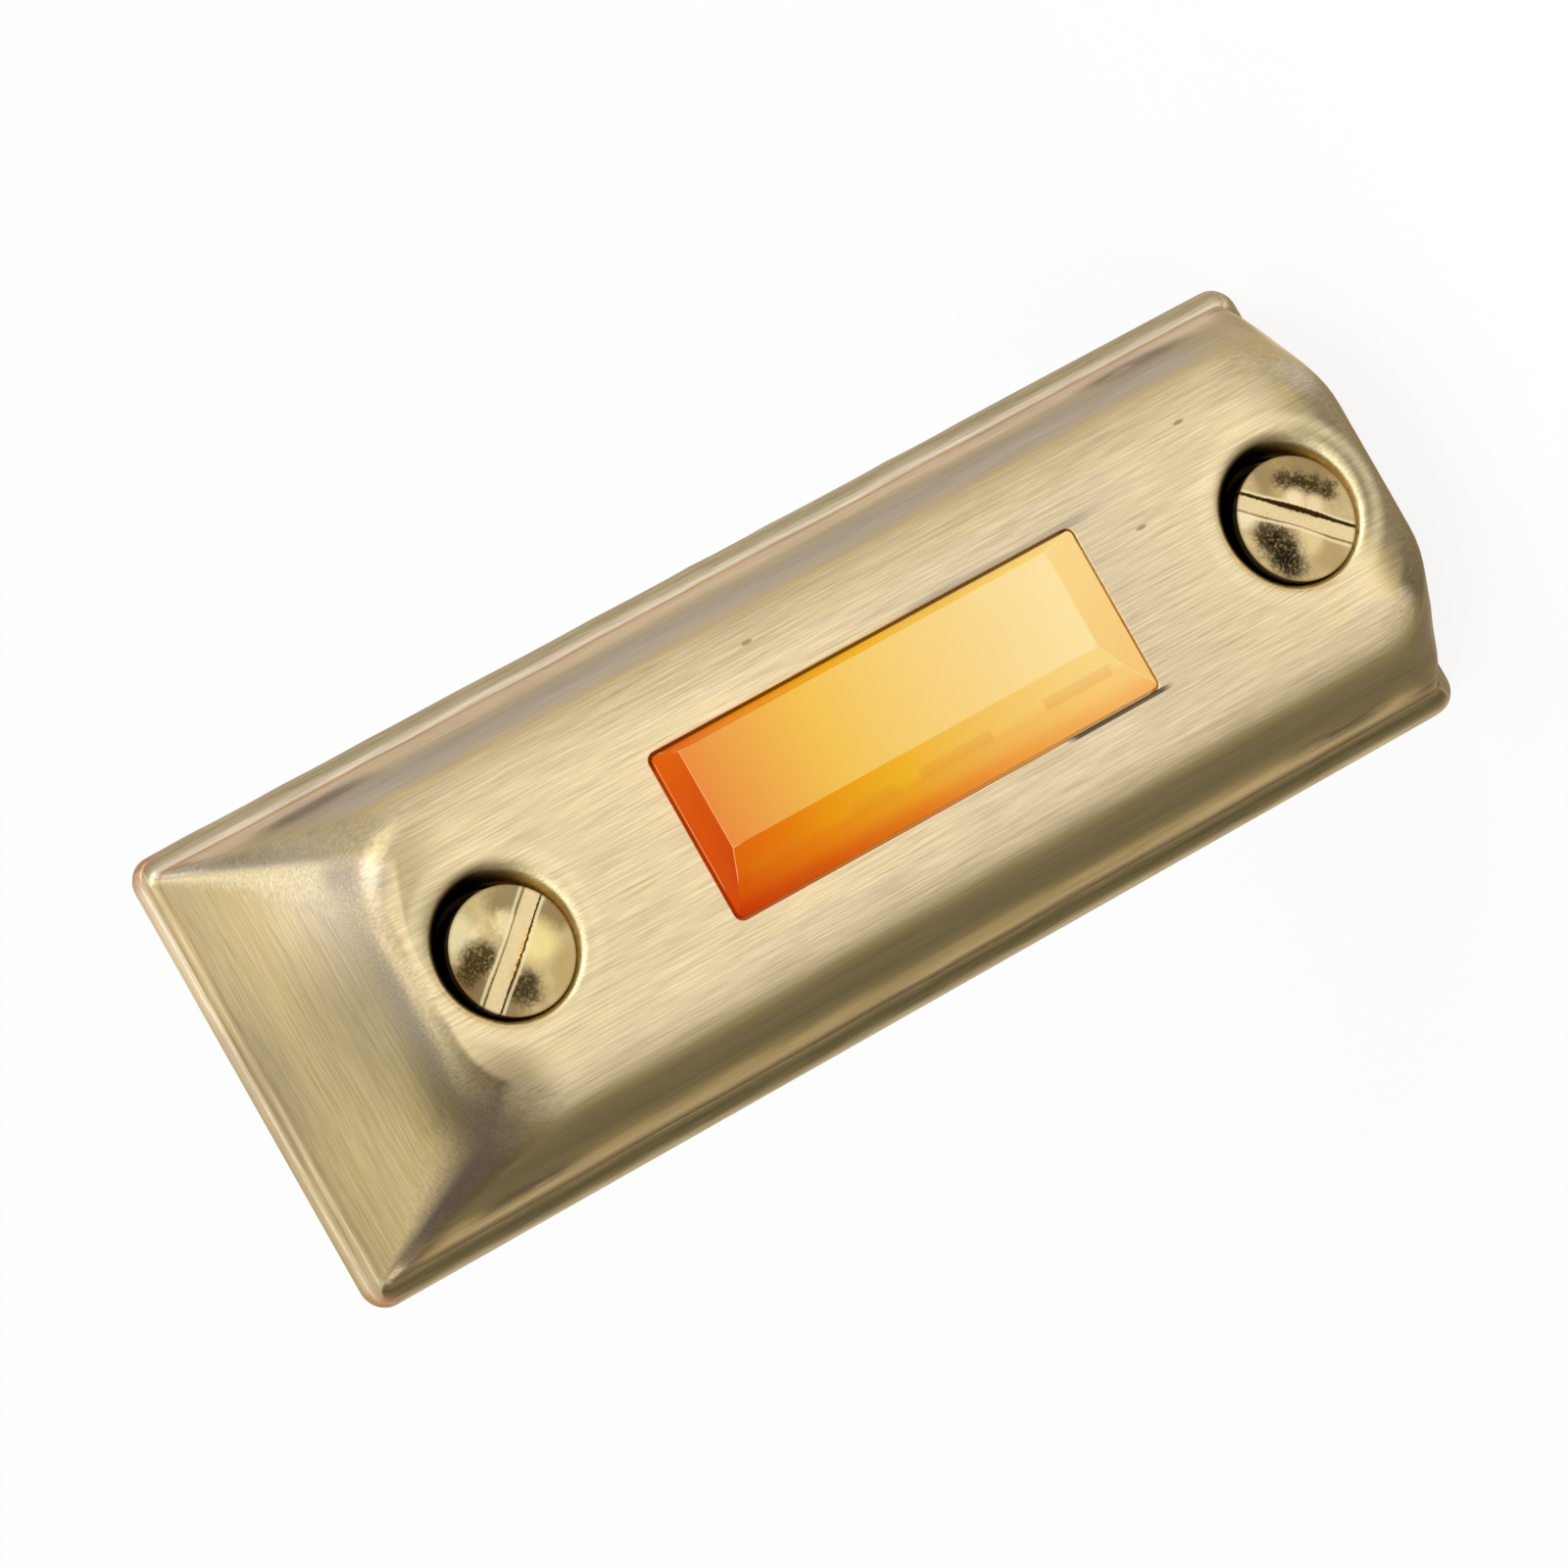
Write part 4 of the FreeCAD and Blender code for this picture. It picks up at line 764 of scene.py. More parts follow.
    # Brushing: along the length, and parallel to the edge on the end walls
    on_end = end.step(0.35, 0.65) * run.step(13.6, 12.6)
    coarse, thin = (
        p.between(on_end, p.grain(lengthways, 2.0, 0.7), p.grain(crossways, 2.0, 0.7))
        for lengthways, crossways in BRUSHES
    )
    streak = (coarse - 0.5) * (0.22 * settings.brushing) + (thin - 0.5) * (1.0 * settings.brushing)
    cloud = p.grain((0.12, 0.12, 0.05), 2.0)
    tone = p.scaled(tone, 1.0 + streak + (cloud - 0.5) * 0.2)
    return p.surface(
        Base_Color=tone, Metallic=1.0, Specular_Tint=p.mix(0.74, tone, SHEEN),
        Roughness=p.between(coarse, settings.gloss + 0.1, settings.gloss - 0.06),
        Normal=p.bump(coarse * 0.4 + thin * 0.6, 0.012, 0.35),
    )


def squared_corner(x, y, z):
    """Moves a point of the push bar so that the bar's corners have a smaller radius."""
    old, new = BAR_CORNERS
    off_x, off_z = abs(x) - (BAR_HALF[0] - old), abs(z) - (BAR_HALF[1] - old)
    away = hypot(off_x, off_z)
    if off_x <= 0 or off_z <= 0 or away > old + 0.01 or -y < FRONT - SHEET - 0.3:
        return x, y, z
    core = old - new
    reach = old / (max(off_x, off_z) / away)
    square = (off_x + off_z) / away
    if min(off_x, off_z) / away * reach > core:
        reach = core * square + sqrt(max(new**2 - 2 * core**2 + (core * square) ** 2, 0.0))
    grow = reach / old - 1
    return x + grow * off_x * (1 if x > 0 else -1), y, z + grow * off_z * (1 if z > 0 else -1)


def paint_amber(settings):
    """Amber plastic with a painted glow, as if lit from behind: deep orange at the upper end, pale
    yellow at the lower one, with painted light and shade on each facet.
    """
    p = Paint("amber_plastic")
    nx, _, nz = p.split(p.add("ShaderNodeTexCoord", output="Normal"))
    # Each facet has a ramp of its own: the facets' painted light and shade lie in their tones.
    top = p.ramp(p.z, (-11.0, (253, 227, 163)), (4.7, (242, 194, 83)), (12.1, (231, 140, 62)))
    strip = p.ramp(
        p.z, (-12.5, (247, 213, 132)), (-8.8, (244, 205, 110)), (0.2, (232, 175, 24)),
        (4.7, (225, 152, 0)), (13.0, (210, 84, 0)),
    )
    slope = p.ramp(
        p.z, (-13.0, (252, 218, 138)), (-10.3, (252, 216, 134)), (1.7, (240, 180, 40)),
        (6.2, (233, 152, 15)), (9.2, (228, 120, 6)), (12.5, (220, 100, 2)),
    )
    band = p.ramp(
        p.z, (-13.0, (250, 204, 122)), (-10.3, (252, 205, 118)), (1.7, (235, 163, 34)),
        (7.7, (226, 124, 9)), (13.0, (212, 84, 0)),
    )
    foot = p.ramp(
        p.z, (-13.0, (245, 180, 98)), (-10.3, (247, 180, 93)), (-5.8, (240, 164, 66)),
        (1.7, (227, 121, 22)), (7.7, (212, 86, 3)), (13.0, (196, 56, 0)),
    )
    near_end = p.ramp(
        p.x, (-4.5, (190, 44, 0)), (-3.6, (196, 64, 0)), (2.5, (208, 84, 0)), (4.5, (216, 98, 0))
    )
    near_end = p.mix(p.z.step(12.2, 13.0) * 0.3, near_end, (218, 86, 4))
    far_end = p.mix(p.x.step(-4.5, 4.0), (250, 203, 122), (254, 218, 140))
    low_side = p.mix(p.x.step(-2.5, -3.05), slope, p.mix(p.x.step(-3.2, -4.5), band, foot))

    # Darker places low on the slope, where something behind it shades the light
    dashes = p.z.within(8.4, 11.6, 0.15)
    for low, high in ((2.6, 5.3), (-3.4, 1.0), (-11.0, -6.9)):
        dashes = dashes + p.z.within(low, high, 0.15)
    shade = p.x.within(-2.85, -2.45, 0.18) * dashes * 0.24

    # Painted highlights on the edges at the ends, and painted shade in the window's gap
    edge = p.mark("edge")
    lit = p.x.step(-3.1, -2.7) * p.x.step(4.3, 4.05)
    gap_shade = p.depth.step(FRONT, FRONT - 0.14) * (0.3 + p.x.step(3.5, 4.4) * 0.5)
    tone = p.coat(
        top, (nx.step(-0.03, -0.12), low_side), (nx.step(0.15, 0.5), strip),
        (nz.step(0.15, 0.4), near_end), (nz.step(-0.1, -0.25), far_end), (shade, (216, 128, 30)),
        (edge * lit * p.z.step(11.4, 11.8), (250, 178, 126)),
        (edge * p.x.step(-4.2, -3.6) * p.z.step(-10.4, -10.8) * 0.7, (254, 234, 172)),
        (gap_shade, (84, 34, 8)),
    )
    speckle = p.grain(1.4, 4.0)
    tone = p.scaled(tone, 0.98 + speckle * 0.04)
    # The emission is a painted glow in the plastic's own tones.
    return p.surface(
        Base_Color=tone, Roughness=settings.gloss, Specular_IOR_Level=0.07, Subsurface_Weight=0.05,
        Subsurface_Scale=0.5 * MM, Emission_Color=tone, Emission_Strength=settings.glow,
        Normal=p.bump(speckle, 0.01, 0.1),
    )


SLOT_EDGE = 0.47  # From the middle of a mounting screw's slot to its edge


def paint_polished(name, centre, turn, base, line, spots, strength):
    """Brass of a screw head, with places of another tone as (x, z, radius, tone) from its centre:
    painted highlights, and tarnish with painted dark reflections.

    The line is half the width of the shadow along one side of its slot. Dark places are speckled.
    """
    p = Paint(name)
    across, along = p.x - centre.x, p.z - centre.z
    blotch = p.grain(0.8, 4.0, 0.6)
    speck = p.grain(5.5, 4.0, 0.7)
    tone = shank = p.mix(blotch.step(0.3, 0.7), tuple(int(part * 0.9) for part in base), base)
    dark = 0.0
    for spot_x, spot_z, radius, spot in spots:
        reach = length(across - spot_x, along - spot_z) + (blotch - 0.5) * 1.1 + (speck - 0.5) * 0.8
        share = reach.step(radius, radius * 0.3)
        if spot[0] < 90:
            dark = p.math("MAXIMUM", dark, share)
            tone = p.mix(share * strength, tone, p.mix(speck.step(0.5, 0.66), spot, (140, 114, 66)))
        else:
            tone = p.mix(share * 0.85, tone, spot)
    from_slot = across * sin(turn) + along * cos(turn)
    slot = abs(from_slot)
    ragged = from_slot + (speck - 0.5) * 0.16
    away = length(across, along)
    gap = p.mix((along + across * 0.35).step(-2.0, 0.6), GAP_LIT, (34, 25, 12))
    # Painted highlights along the slot's edges, its floor painted bright, painted shadow lines
    # along its sides, and painted shade round the head's edge
    tone = p.coat(
        tone, (slot.hump(0.62, 0.14) * 0.7, (253, 238, 190)),
        (slot.step(0.46, 0.4) * 0.92, p.mix(speck, (222, 192, 134), (253, 236, 188))),
        (ragged.hump(0.45, 0.1) * 0.75, (112, 84, 40)),
        (abs(ragged + SLOT_EDGE).step(line, line * 0.4), (62, 40, 16)),
        (away.step(3.16, 3.28) * 0.5, (130, 106, 62)),
    )
    tone = p.mix(p.depth.step(FRONT - 2.4, FRONT - 2.0), shank, tone)
    # Below the front, the head's side is painted in shade, lit on the side away from the well's
    # shadow
    tone = p.mix(p.depth.step(FRONT - 0.33, FRONT - 0.5) * away.step(2.4, 2.9), tone, gap)
    return p.surface(
        Base_Color=tone, Metallic=1.0, Roughness=p.between(dark, 0.36, 0.5),
        Specular_Tint=p.mix(0.7, tone, SHEEN), Normal=p.bump(blotch * 0.8 + speck * 0.2, 0.12, 0.7),
    )


def paint_plain(name, tone, second, scale, rough, metallic=0.0, grain_height=0.01, **sockets):
    """A moulded, plated or drawn finish: two tones clouded together over a fine grain."""
    p = Paint(name)
    fine = p.grain(scale * 8, 2.0)
    return p.surface(
        Base_Color=p.mix(p.grain(scale, 4.0).step(0.25, 0.75), tone, second), Metallic=metallic,
        Roughness=p.between(fine, rough - 0.08, rough + 0.08),
        Normal=p.bump(fine, grain_height, 0.4), **sockets,
    )


LEAD_TONE = (196, 196, 194)
AXIS_HEIGHT = 0.65  # From the foot of the resistor and the diode to their axis


def paint_banded(name, body, bands):
    """A resistor or diode: painted body with (place, half width, tone) bands, and tinned leads."""
    p = Paint(name)
    low, middle, _ = box_mm(name)
    away = length(p.y - (low.y + AXIS_HEIGHT), p.z - middle.z)
    tone = body
    for at, half, band in bands:
        tone = p.mix(abs(p.x - at).step(half + 0.03, half), tone, band)
    on_lead = p.math("MAXIMUM", away.step(0.3, 0.27), abs(p.x).step(1.1, 1.12))
    return p.surface(
        Base_Color=p.mix(on_lead, tone, LEAD_TONE), Metallic=on_lead,
        Roughness=p.between(p.grain(6.0), 0.3, 0.45),
    )


# Brass of the screw heads, the painted shadow lines of their slots, and their places: bright ones
# are painted highlights, brown and black ones tarnish together with painted dark reflections
HEAD_LOOKS = {
    "upper": ((216, 192, 136), 0.06, (
        (2.0, 2.2, 1.5, (240, 224, 174)), (2.4, -1.0, 1.6, (150, 130, 88)),
        (0.6, -2.8, 1.2, (150, 126, 80)), (-0.2, -1.3, 1.6, (255, 234, 160)),
        (-0.5, 2.7, 1.9, (122, 98, 60)), (-2.3, 1.6, 1.6, (142, 118, 74)),
        (-2.2, -2.1, 1.4, (196, 168, 110)), (1.3, -0.4, 0.9, (246, 228, 172)),
        (0.35, 1.8, 1.3, (44, 34, 18)), (0.1, 2.6, 1.0, (74, 58, 32)),
        (-1.9, 0.4, 1.25, (44, 34, 18)),
    )),
    "lower": ((222, 196, 142), 0.14, (
        (2.0, -2.0, 2.6, (150, 126, 82)), (2.6, 0.3, 1.6, (156, 132, 88)),
        (-2.4, -0.7, 2.0, (186, 160, 108)), (-1.2, 0.1, 1.3, (238, 214, 158)),
        (1.2, 2.4, 0.9, (250, 236, 196)), (1.5, -1.1, 1.0, (52, 41, 22)),
        (1.1, -1.7, 0.9, (58, 46, 24)), (2.0, -0.4, 0.9, (62, 48, 26)),
        (0.5, -2.3, 0.8, (66, 52, 28)), (0.9, -0.4, 0.9, (255, 232, 184)),
        (0.2, -1.2, 0.8, (252, 226, 176)), (0.0, 1.95, 1.2, (34, 26, 14)),
        (-1.0, 1.65, 1.55, (30, 24, 14)), (-1.8, 1.5, 1.25, (30, 24, 16)),
    )),
}

HEAD_TURNS = {"upper": radians(50.0), "lower": radians(-48.0)}
MOUNTING_HEAD = {"radius": 3.3, "height": 2.6, "side": 1.8, "slot_width": 0.86, "slot_depth": 0.34}
TERMINAL_HEAD = {
    "radius": 2.2, "height": 1.6, "side": 1.1, "slot_width": 0.8, "slot_depth": 0.8, "edge": 0.08,
}
TERMINAL_SHANK = {
    "Plain": 0.0003, "Point": 0.0004, "Core": 0.001, "Ridge": 0.0002, "Neck": 0.001,
    "Pitch": 0.0005, "Tip": 0.0008, "Rows": 200,
}
TERMINAL_SEAT = 4.1


def screw_head(shell, radius, side, height, slot_width, slot_depth, edge=0.12, dent=0.0):
    """A crowned head over its seat at y = 0, rising towards -Y, with a slot along X.

    Returns the loop at its foot, from which a neck may go on.
    """
    crown = height - side
    sphere = (radius**2 + crown**2) / (2 * crown)
    floor = height - slot_depth
    half_slot = slot_width / 2

    def rounding(past):
        """How much lower the surface is, a way past the start of a rounded edge."""
        return edge - sqrt(max(edge**2 - past**2, 0.0))

    def rise(x, z):
        off_slot = abs(z) - half_slot
        if off_slot < -0.02:
            return floor + dent * 0.5 * noise.noise(Vector((x * 2.5, z * 2.5, 7.0)))
        away = min(hypot(x, z), radius)
        level = height - (sphere - sqrt(sphere**2 - away**2))
        level += dent * noise.noise(Vector((x * 0.9, z * 0.9, radius)))
        if away > radius - edge:
            level -= rounding(away - (radius - edge))
        if off_slot < edge:
            level -= rounding(edge - off_slot)
        return max(level, floor)

    lip = [half_slot + edge * (1 - cos(angle)) for angle in arc_steps(0.3, pi / 2, 4)]
    spread = 18
    low_turn = asin((half_slot + edge) / radius)
    rest = [radius * sin(low_turn + (pi / 2 - low_turn) * i / spread) for i in range(1, spread)]
    inner = [half_slot * share for share in (0.0, 0.35, 0.7)]
    widths = {*inner, half_slot - 0.03, half_slot, *lip, *rest}
    steps = 44
    rows = []
    for z in sorted(widths | {-width for width in widths}):
        reach = sqrt(max(radius**2 - z**2, 0.0))
        row = [reach * sin(pi / 2 * (2 * i / steps - 1)) for i in range(steps + 1)]
        rows.append(shell.loop([(x, -rise(x, z), z) for x in row]))
    for first, second in zip(rows, rows[1:]):
        for i in range(steps):
            shell.faces.append((first[i], first[i + 1], second[i + 1], second[i]))
    poles = [shell.loop([(0.0, -rise(0.0, z), z)])[0] for z in (-radius, radius)]
    for pole, row in zip(poles, (rows[0], rows[-1])):
        for i in range(steps):
            shell.faces.append((row[i], row[i + 1], pole))
    ring = [poles[0], *(row[-1] for row in rows), poles[1], *(row[0] for row in reversed(rows))]
    plan = [(shell.points[i][0], shell.points[i][2]) for i in ring]
    skirt = [ring]
    for level, scale in ((0.06, 1.0), (0.0, 1.0 - 0.06 / radius)):
        skirt.append(shell.loop([(x * scale, -level, z * scale) for x, z in plan]))
    shell.skin(skirt)
    return skirt[-1]


def threaded_shank():
    """Tree of a shank along +Y: a grid rolled into a cylinder, with a ridge that winds along it."""
    t = GeometryTree(
        "threaded_shank", Length=0.02, Plain=0.01, Point=0.0035, Core=0.0012, Ridge=0.00052,
        Neck=0.0016, Pitch=0.0014, Tip=0.0002, Rows=360,
    )
    g = t.given
    size = {"Size X": 1.0, "Size Y": 1.0, "Vertices X": 41, "Vertices Y": g["Rows"]}
    x, y, _ = t.split(t.add("GeometryNodeInputPosition"))
    turn = (x + 0.5) * (2 * pi)
    along = (y + 0.5) * g["Length"]
    phase = t.math("FRACT", along / g["Pitch"] + turn / (2 * pi))
    ridge = t.math("MAXIMUM", 1.0 - abs(phase - 0.5) * 2.6, 0.0)
    threaded = t.math("DIVIDE", along - g["Plain"], g["Pitch"] * 0.6, clamp=True)
    to_tip = t.math("DIVIDE", g["Length"] - along, g["Point"], clamp=True)
    core = g["Tip"] + (g["Core"] - g["Tip"]) * to_tip
    body = core + g["Ridge"] * ridge * t.math("MINIMUM", to_tip * 1.6, 1.0)
    share = along / g["Length"]
    closed = t.math("COMPARE", share, 0.0, 0.0005) + t.math("COMPARE", share, 1.0, 0.0005)
    radius = (g["Neck"] + (body - g["Neck"]) * threaded) * (1.0 - closed)
    rim_light_and_shade = t.moved(t.add("GeometryNodeMeshGrid", size), radius, turn, along)
    return t.finish(t.add("GeometryNodeMergeByDistance", {"Geometry": rim_light_and_shade, "Distance": 1e-6}))


def coil_spring():
    """Tree of a coil along +Y: a line bent into a helix with closed end turns, and a round wire."""
    t = GeometryTree(
        "coil_spring", Radius=0.0016, Wire=0.00018, Length=0.0063, Closed=0.0004, Turns=4.0,
        Steps=420,
    )
    g = t.given
    line = t.add("GeometryNodeCurvePrimitiveLine")
    fine = t.add("GeometryNodeResampleCurve", {"Curve": line, "Count": g["Steps"]})
    turns = t.add("GeometryNodeSplineParameter", output="Factor") * (g["Turns"] + 2.0)
    first = t.math("MINIMUM", turns, 1.0)
    open_turns = t.math("MINIMUM", t.math("MAXIMUM", turns - 1.0, 0.0), g["Turns"])
    last = t.math("MAXIMUM", turns - 1.0 - g["Turns"], 0.0)
    pitch = (g["Length"] - g["Closed"] * 2.0) / g["Turns"]
    rise = (first + last) * g["Closed"] + open_turns * pitch
    helix = t.moved(fine, g["Radius"], turns * (2 * pi), rise)
    ring = t.add("GeometryNodeCurvePrimitiveCircle", {"Resolution": 12, "Radius": g["Wire"]})
    swept = {"Curve": helix, "Profile Curve": ring, "Fill Caps": True}
    return t.finish(t.add("GeometryNodeCurveToMesh", swept))


def build_screw(
    node, material, slot, shank, seat, reach, sink, head, turn, facing=Matrix(), **thread
):
    """A screw from a head on its seat, and a threaded shank that reaches on from there.

    The shank starts sunk into the head. Turn is the slot's, facing turns the whole screw.
    """
    shell = Shell()
    shell.cap(screw_head(shell, **head))
    piece = make_piece(f"{node}_head", shell)
    piece.data.transform(Matrix.Translation(seat * MM) @ facing @ Matrix.Rotation(turn, 4, "Y"))
    start = Matrix.Translation((seat - facing @ Vector((0, sink, 0))) * MM) @ facing
    name = f"{node}_shank"
    mesh = shank.make(name, material, start, Length=(reach + sink) * MM, **thread)
    dress(link_piece(name, mesh, 50.0), material, slot)
    dress(piece, material, slot, node)


# Turned profiles, as radius and rise from the foot
RIVET = ((1.1, 0.0), (1.1, 0.62), (1.06, 0.72), (0.9, 0.82), (0.6, 0.93), (0.3, 0.985))
BULB = ((1.8, 0.0), (1.85, 0.05), (1.85, 0.85), (1.8, 0.9), (1.5, 0.95), (1.5, 2.7))
BULB_RADIUS, BULB_RISE = BULB[-1]


def turned_piece(name, profile, foot, x=0.0, z=0.0, steps=56):
    """A piece turned about an axis along Y, with its foot at a height y. Its ends are closed."""
    shell = Shell()
    loops = [shell.loop(circle_loop(radius, rise - foot, 0.0, steps)) for radius, rise in profile]
    shell.skin(loops)
    shell.cap(loops[0])
    shell.cap(loops[-1])
    piece = make_piece(name, shell)
    piece.data.transform(Matrix.Translation(Vector((x, 0, z)) * MM))
    return piece


class StageSettings(bpy.types.PropertyGroup):
    """Surroundings, lamps and the camera"""

    floor_drop: FloatProperty(
        name="Floor", description="Gap between the plate's lower end and the floor", default=0.0003,
        unit="LENGTH",
    )
    ambient: FloatProperty(
        name="Ambient", description="Light from all round", default=0.42, min=0.0
    )
    key: FloatProperty(
        name="Key lamp", description="Power of the lamp above the front", default=0.5, unit="POWER"
    )
    fill: FloatProperty(
        name="Fill lamp", description="Power of the lamp at the left", default=0.25, unit="POWER"
    )
    camera_direction: FloatVectorProperty(
        name="Camera direction", description="From the plate's middle towards the camera",
        default=(-0.026, -0.908, 0.417), subtype="DIRECTION",
    )
    camera_distance: FloatProperty(
        name="Camera distance", description="From the plate's middle to the camera", default=0.481,
        unit="LENGTH",
    )
    camera_roll: FloatProperty(
        name="Camera roll", description="Slant of the plate in the picture", default=radians(28.86),
        subtype="ANGLE",
    )
    lens: FloatProperty(name="Lens", description="Focal length in millimetres", default=215.5)
    aim: FloatVectorProperty(
        name="Aim", description="Where the camera looks, right and up from the plate's middle",
        size=2, default=(-0.00124, 0.00007), subtype="TRANSLATION",
    )


class CoverSettings(bpy.types.PropertyGroup):
    """Fine shape and finish of the brass cover"""

    edge_round: FloatProperty(
        name="Lip rounding", description="Radius of the lip's front edge", default=0.00028,
        unit="LENGTH",
    )
    rim_round: FloatProperty(
        name="Well rounding", description="Depth of the rolled rims of the wells", default=0.00095,
        unit="LENGTH",
    )
    window_round: FloatProperty(
        name="Window rounding", description="Radius of the window's edge", default=0.00012,
        unit="LENGTH",
    )
    ripple: FloatProperty(
        name="Ripple", description="Height of the press marks", default=0.00012, unit="LENGTH"
    )
    brushing: FloatProperty(
        name="Brushing", description="Contrast of the brush strokes", default=1.0, min=0.0
    )
    # Scales the painted shade on the hips and in the hatching, and the smudges
    patina: FloatProperty(
        name="Patina", description="Strength of the smoky places", default=1.0, min=0.0
    )
    gloss: FloatProperty(name="Roughness", description="Roughness of the brass", default=0.34)


class BarSettings(bpy.types.PropertyGroup):
    """The amber push bar"""

    edge_round: FloatProperty(
        name="Edge rounding", description="Radius of the facets' edges", default=0.00017,
        unit="LENGTH",
    )
    # Strength of the bar's painted glow
    glow: FloatProperty(
        name="Glow", description="Light that comes through the plastic", default=0.42, min=0.0
    )
    gloss: FloatProperty(name="Roughness", description="Roughness of the plastic", default=0.22)


class ScrewSettings(bpy.types.PropertyGroup):
    """The screws"""

    pitch: FloatProperty(
        name="Pitch", description="Pitch of the mounting screws' thread", default=0.0014,
        unit="LENGTH",
    )
    # Scales the dark places, tarnish with painted dark reflections
    tarnish: FloatProperty(
        name="Tarnish", description="Strength of the brown blotches", default=0.9, min=0.0
    )
    dent: FloatProperty(
        name="Unevenness", description="Height of the heads' dents", default=0.00006, unit="LENGTH"
    )


class DoorbellSettings(bpy.types.PropertyGroup):
    """All settings of the doorbell push button"""

    stage: PointerProperty(type=StageSettings)
    cover: PointerProperty(type=CoverSettings)
    bar: PointerProperty(type=BarSettings)
    screws: PointerProperty(type=ScrewSettings)


def seen_rays(tree):
    """1 for rays that look at the surroundings directly, in a reflection or through a material."""
    rays = tree.tree.nodes.new("ShaderNodeLightPath").outputs
    camera, glossy, through = (
        Wire(tree, rays[f"Is {kind} Ray"]) for kind in ("Camera", "Glossy", "Transmission")
    )
    return tree.math("MAXIMUM", camera, tree.math("MAXIMUM", glossy, through))


FLOOR_REACH = 3.0


def lay_floor(level):
    """A plane under the plate, white where it is seen and pale grey where it gives light."""
    paint = Paint("pale_floor")
    white = {"Color": (1.0, 1.0, 1.0, 1.0), "Strength": 0.87}
    cloth, matt = (
        paint.add("ShaderNodeBsdfDiffuse", {"Color": (grey, grey, grey, 1.0)})
        for grey in (0.24, 0.75)
    )
    bright = paint.add("ShaderNodeAddShader", [cloth, paint.add("ShaderNodeEmission", white)])
    surface = paint.add("ShaderNodeMixShader", [seen_rays(paint), matt, bright])
    paint.end("ShaderNodeOutputMaterial", surface)
    plane = bpy.data.meshes.new("floor")
    reach = FLOOR_REACH
    places = ((-reach, -reach), (reach, -reach), (reach, reach), (-reach, reach))
    corners = [(x, y, level) for x, y in places]
    plane.from_pydata(corners, [], [(0, 1, 2, 3)])
    plane.materials.append(paint.material)
    floor = bpy.data.objects.new("floor", plane)
    bpy.context.scene.collection.objects.link(floor)


# Names, sizes and places of the lamps, in metres
LAMPS = (("key", 0.3, (0.32, -0.38, 0.14)), ("fill", 0.4, (-0.12, -0.30, 0.42)))


def camera_pose(settings):
    """Where the camera stands, turned so that the plate lies slanted in the picture."""
    toward = Vector(settings.camera_direction).normalized()
    along = (toward * toward.z - Vector((0, 0, 1))).normalized()
    across = along.cross(toward)
    turn = settings.camera_roll
    right = along * cos(turn) + across * sin(turn)
    up = along * sin(turn) - across * cos(turn)
    place = toward * settings.camera_distance
    back = (place - right * settings.aim[0] - up * settings.aim[1]).normalized()
    right = (right - back * right.dot(back)).normalized()
    axes = Matrix((right, back.cross(right), back)).transposed()
    return Matrix.Translation(place) @ axes.to_4x4()


class DOORBELL_OT_stage(bpy.types.Operator):
    """Floor, lamps, pale surroundings and the camera"""

    bl_idname = "doorbell.stage"
    bl_label = "Stage"

    def execute(self, context):
        scene, settings = context.scene, context.scene.doorbell.stage
        scene.view_settings.view_transform = "Standard"
        scene.world = bpy.data.worlds.new("surroundings")
        scene.world.use_nodes = True
        sky = Tree(scene.world.node_tree)
        background = sky.tree.nodes["Background"].inputs
        background["Color"].default_value = (1.0, 1.0, 1.0, 1.0)
        ambient = settings.ambient
        sky.feed(background["Strength"], seen_rays(sky) * (1.0 - ambient) + ambient)
        lay_floor(CAD_BOX[0][2] - settings.floor_drop)
        for name, size, place in LAMPS:
            lamp = bpy.data.lights.new(name, "AREA")
            lamp.energy = getattr(settings, name)
            lamp.size = size
            holder = bpy.data.objects.new(name, lamp)
            holder.location = place
            holder.rotation_euler = Vector(place).to_track_quat("Z", "Y").to_euler()
            scene.collection.objects.link(holder)
        lens = bpy.data.cameras.new("photo_camera")
        lens.sensor_width, lens.lens = 36.0, settings.lens
        lens.clip_start, lens.clip_end = 0.01, 20.0
        camera = bpy.data.objects.new("photo_camera", lens)
        camera.matrix_world = camera_pose(settings)
        scene.collection.objects.link(camera)
        scene.camera = camera
        return {"FINISHED"}


class DOORBELL_OT_cover(bpy.types.Operator):
    """Pressed brass cover"""

    bl_idname = "doorbell.cover"
    bl_label = "Cover"

    def execute(self, context):
        settings = context.scene.doorbell.cover
        dress(build_cover(settings), paint_brass(settings), "antique_brass", "cover")
        return {"FINISHED"}


class DOORBELL_OT_push_bar(bpy.types.Operator):
    """Amber push bar with its facets"""

    bl_idname = "doorbell.push_bar"
    bl_label = "Push bar"

    def execute(self, context):
        settings = context.scene.doorbell.bar
        soften(
            "push_button", paint_amber(settings), "amber_plastic", settings.edge_round / MM,
            name="push_bar", sharp=12.0, reshape=squared_corner, body="button",
        )
        return {"FINISHED"}


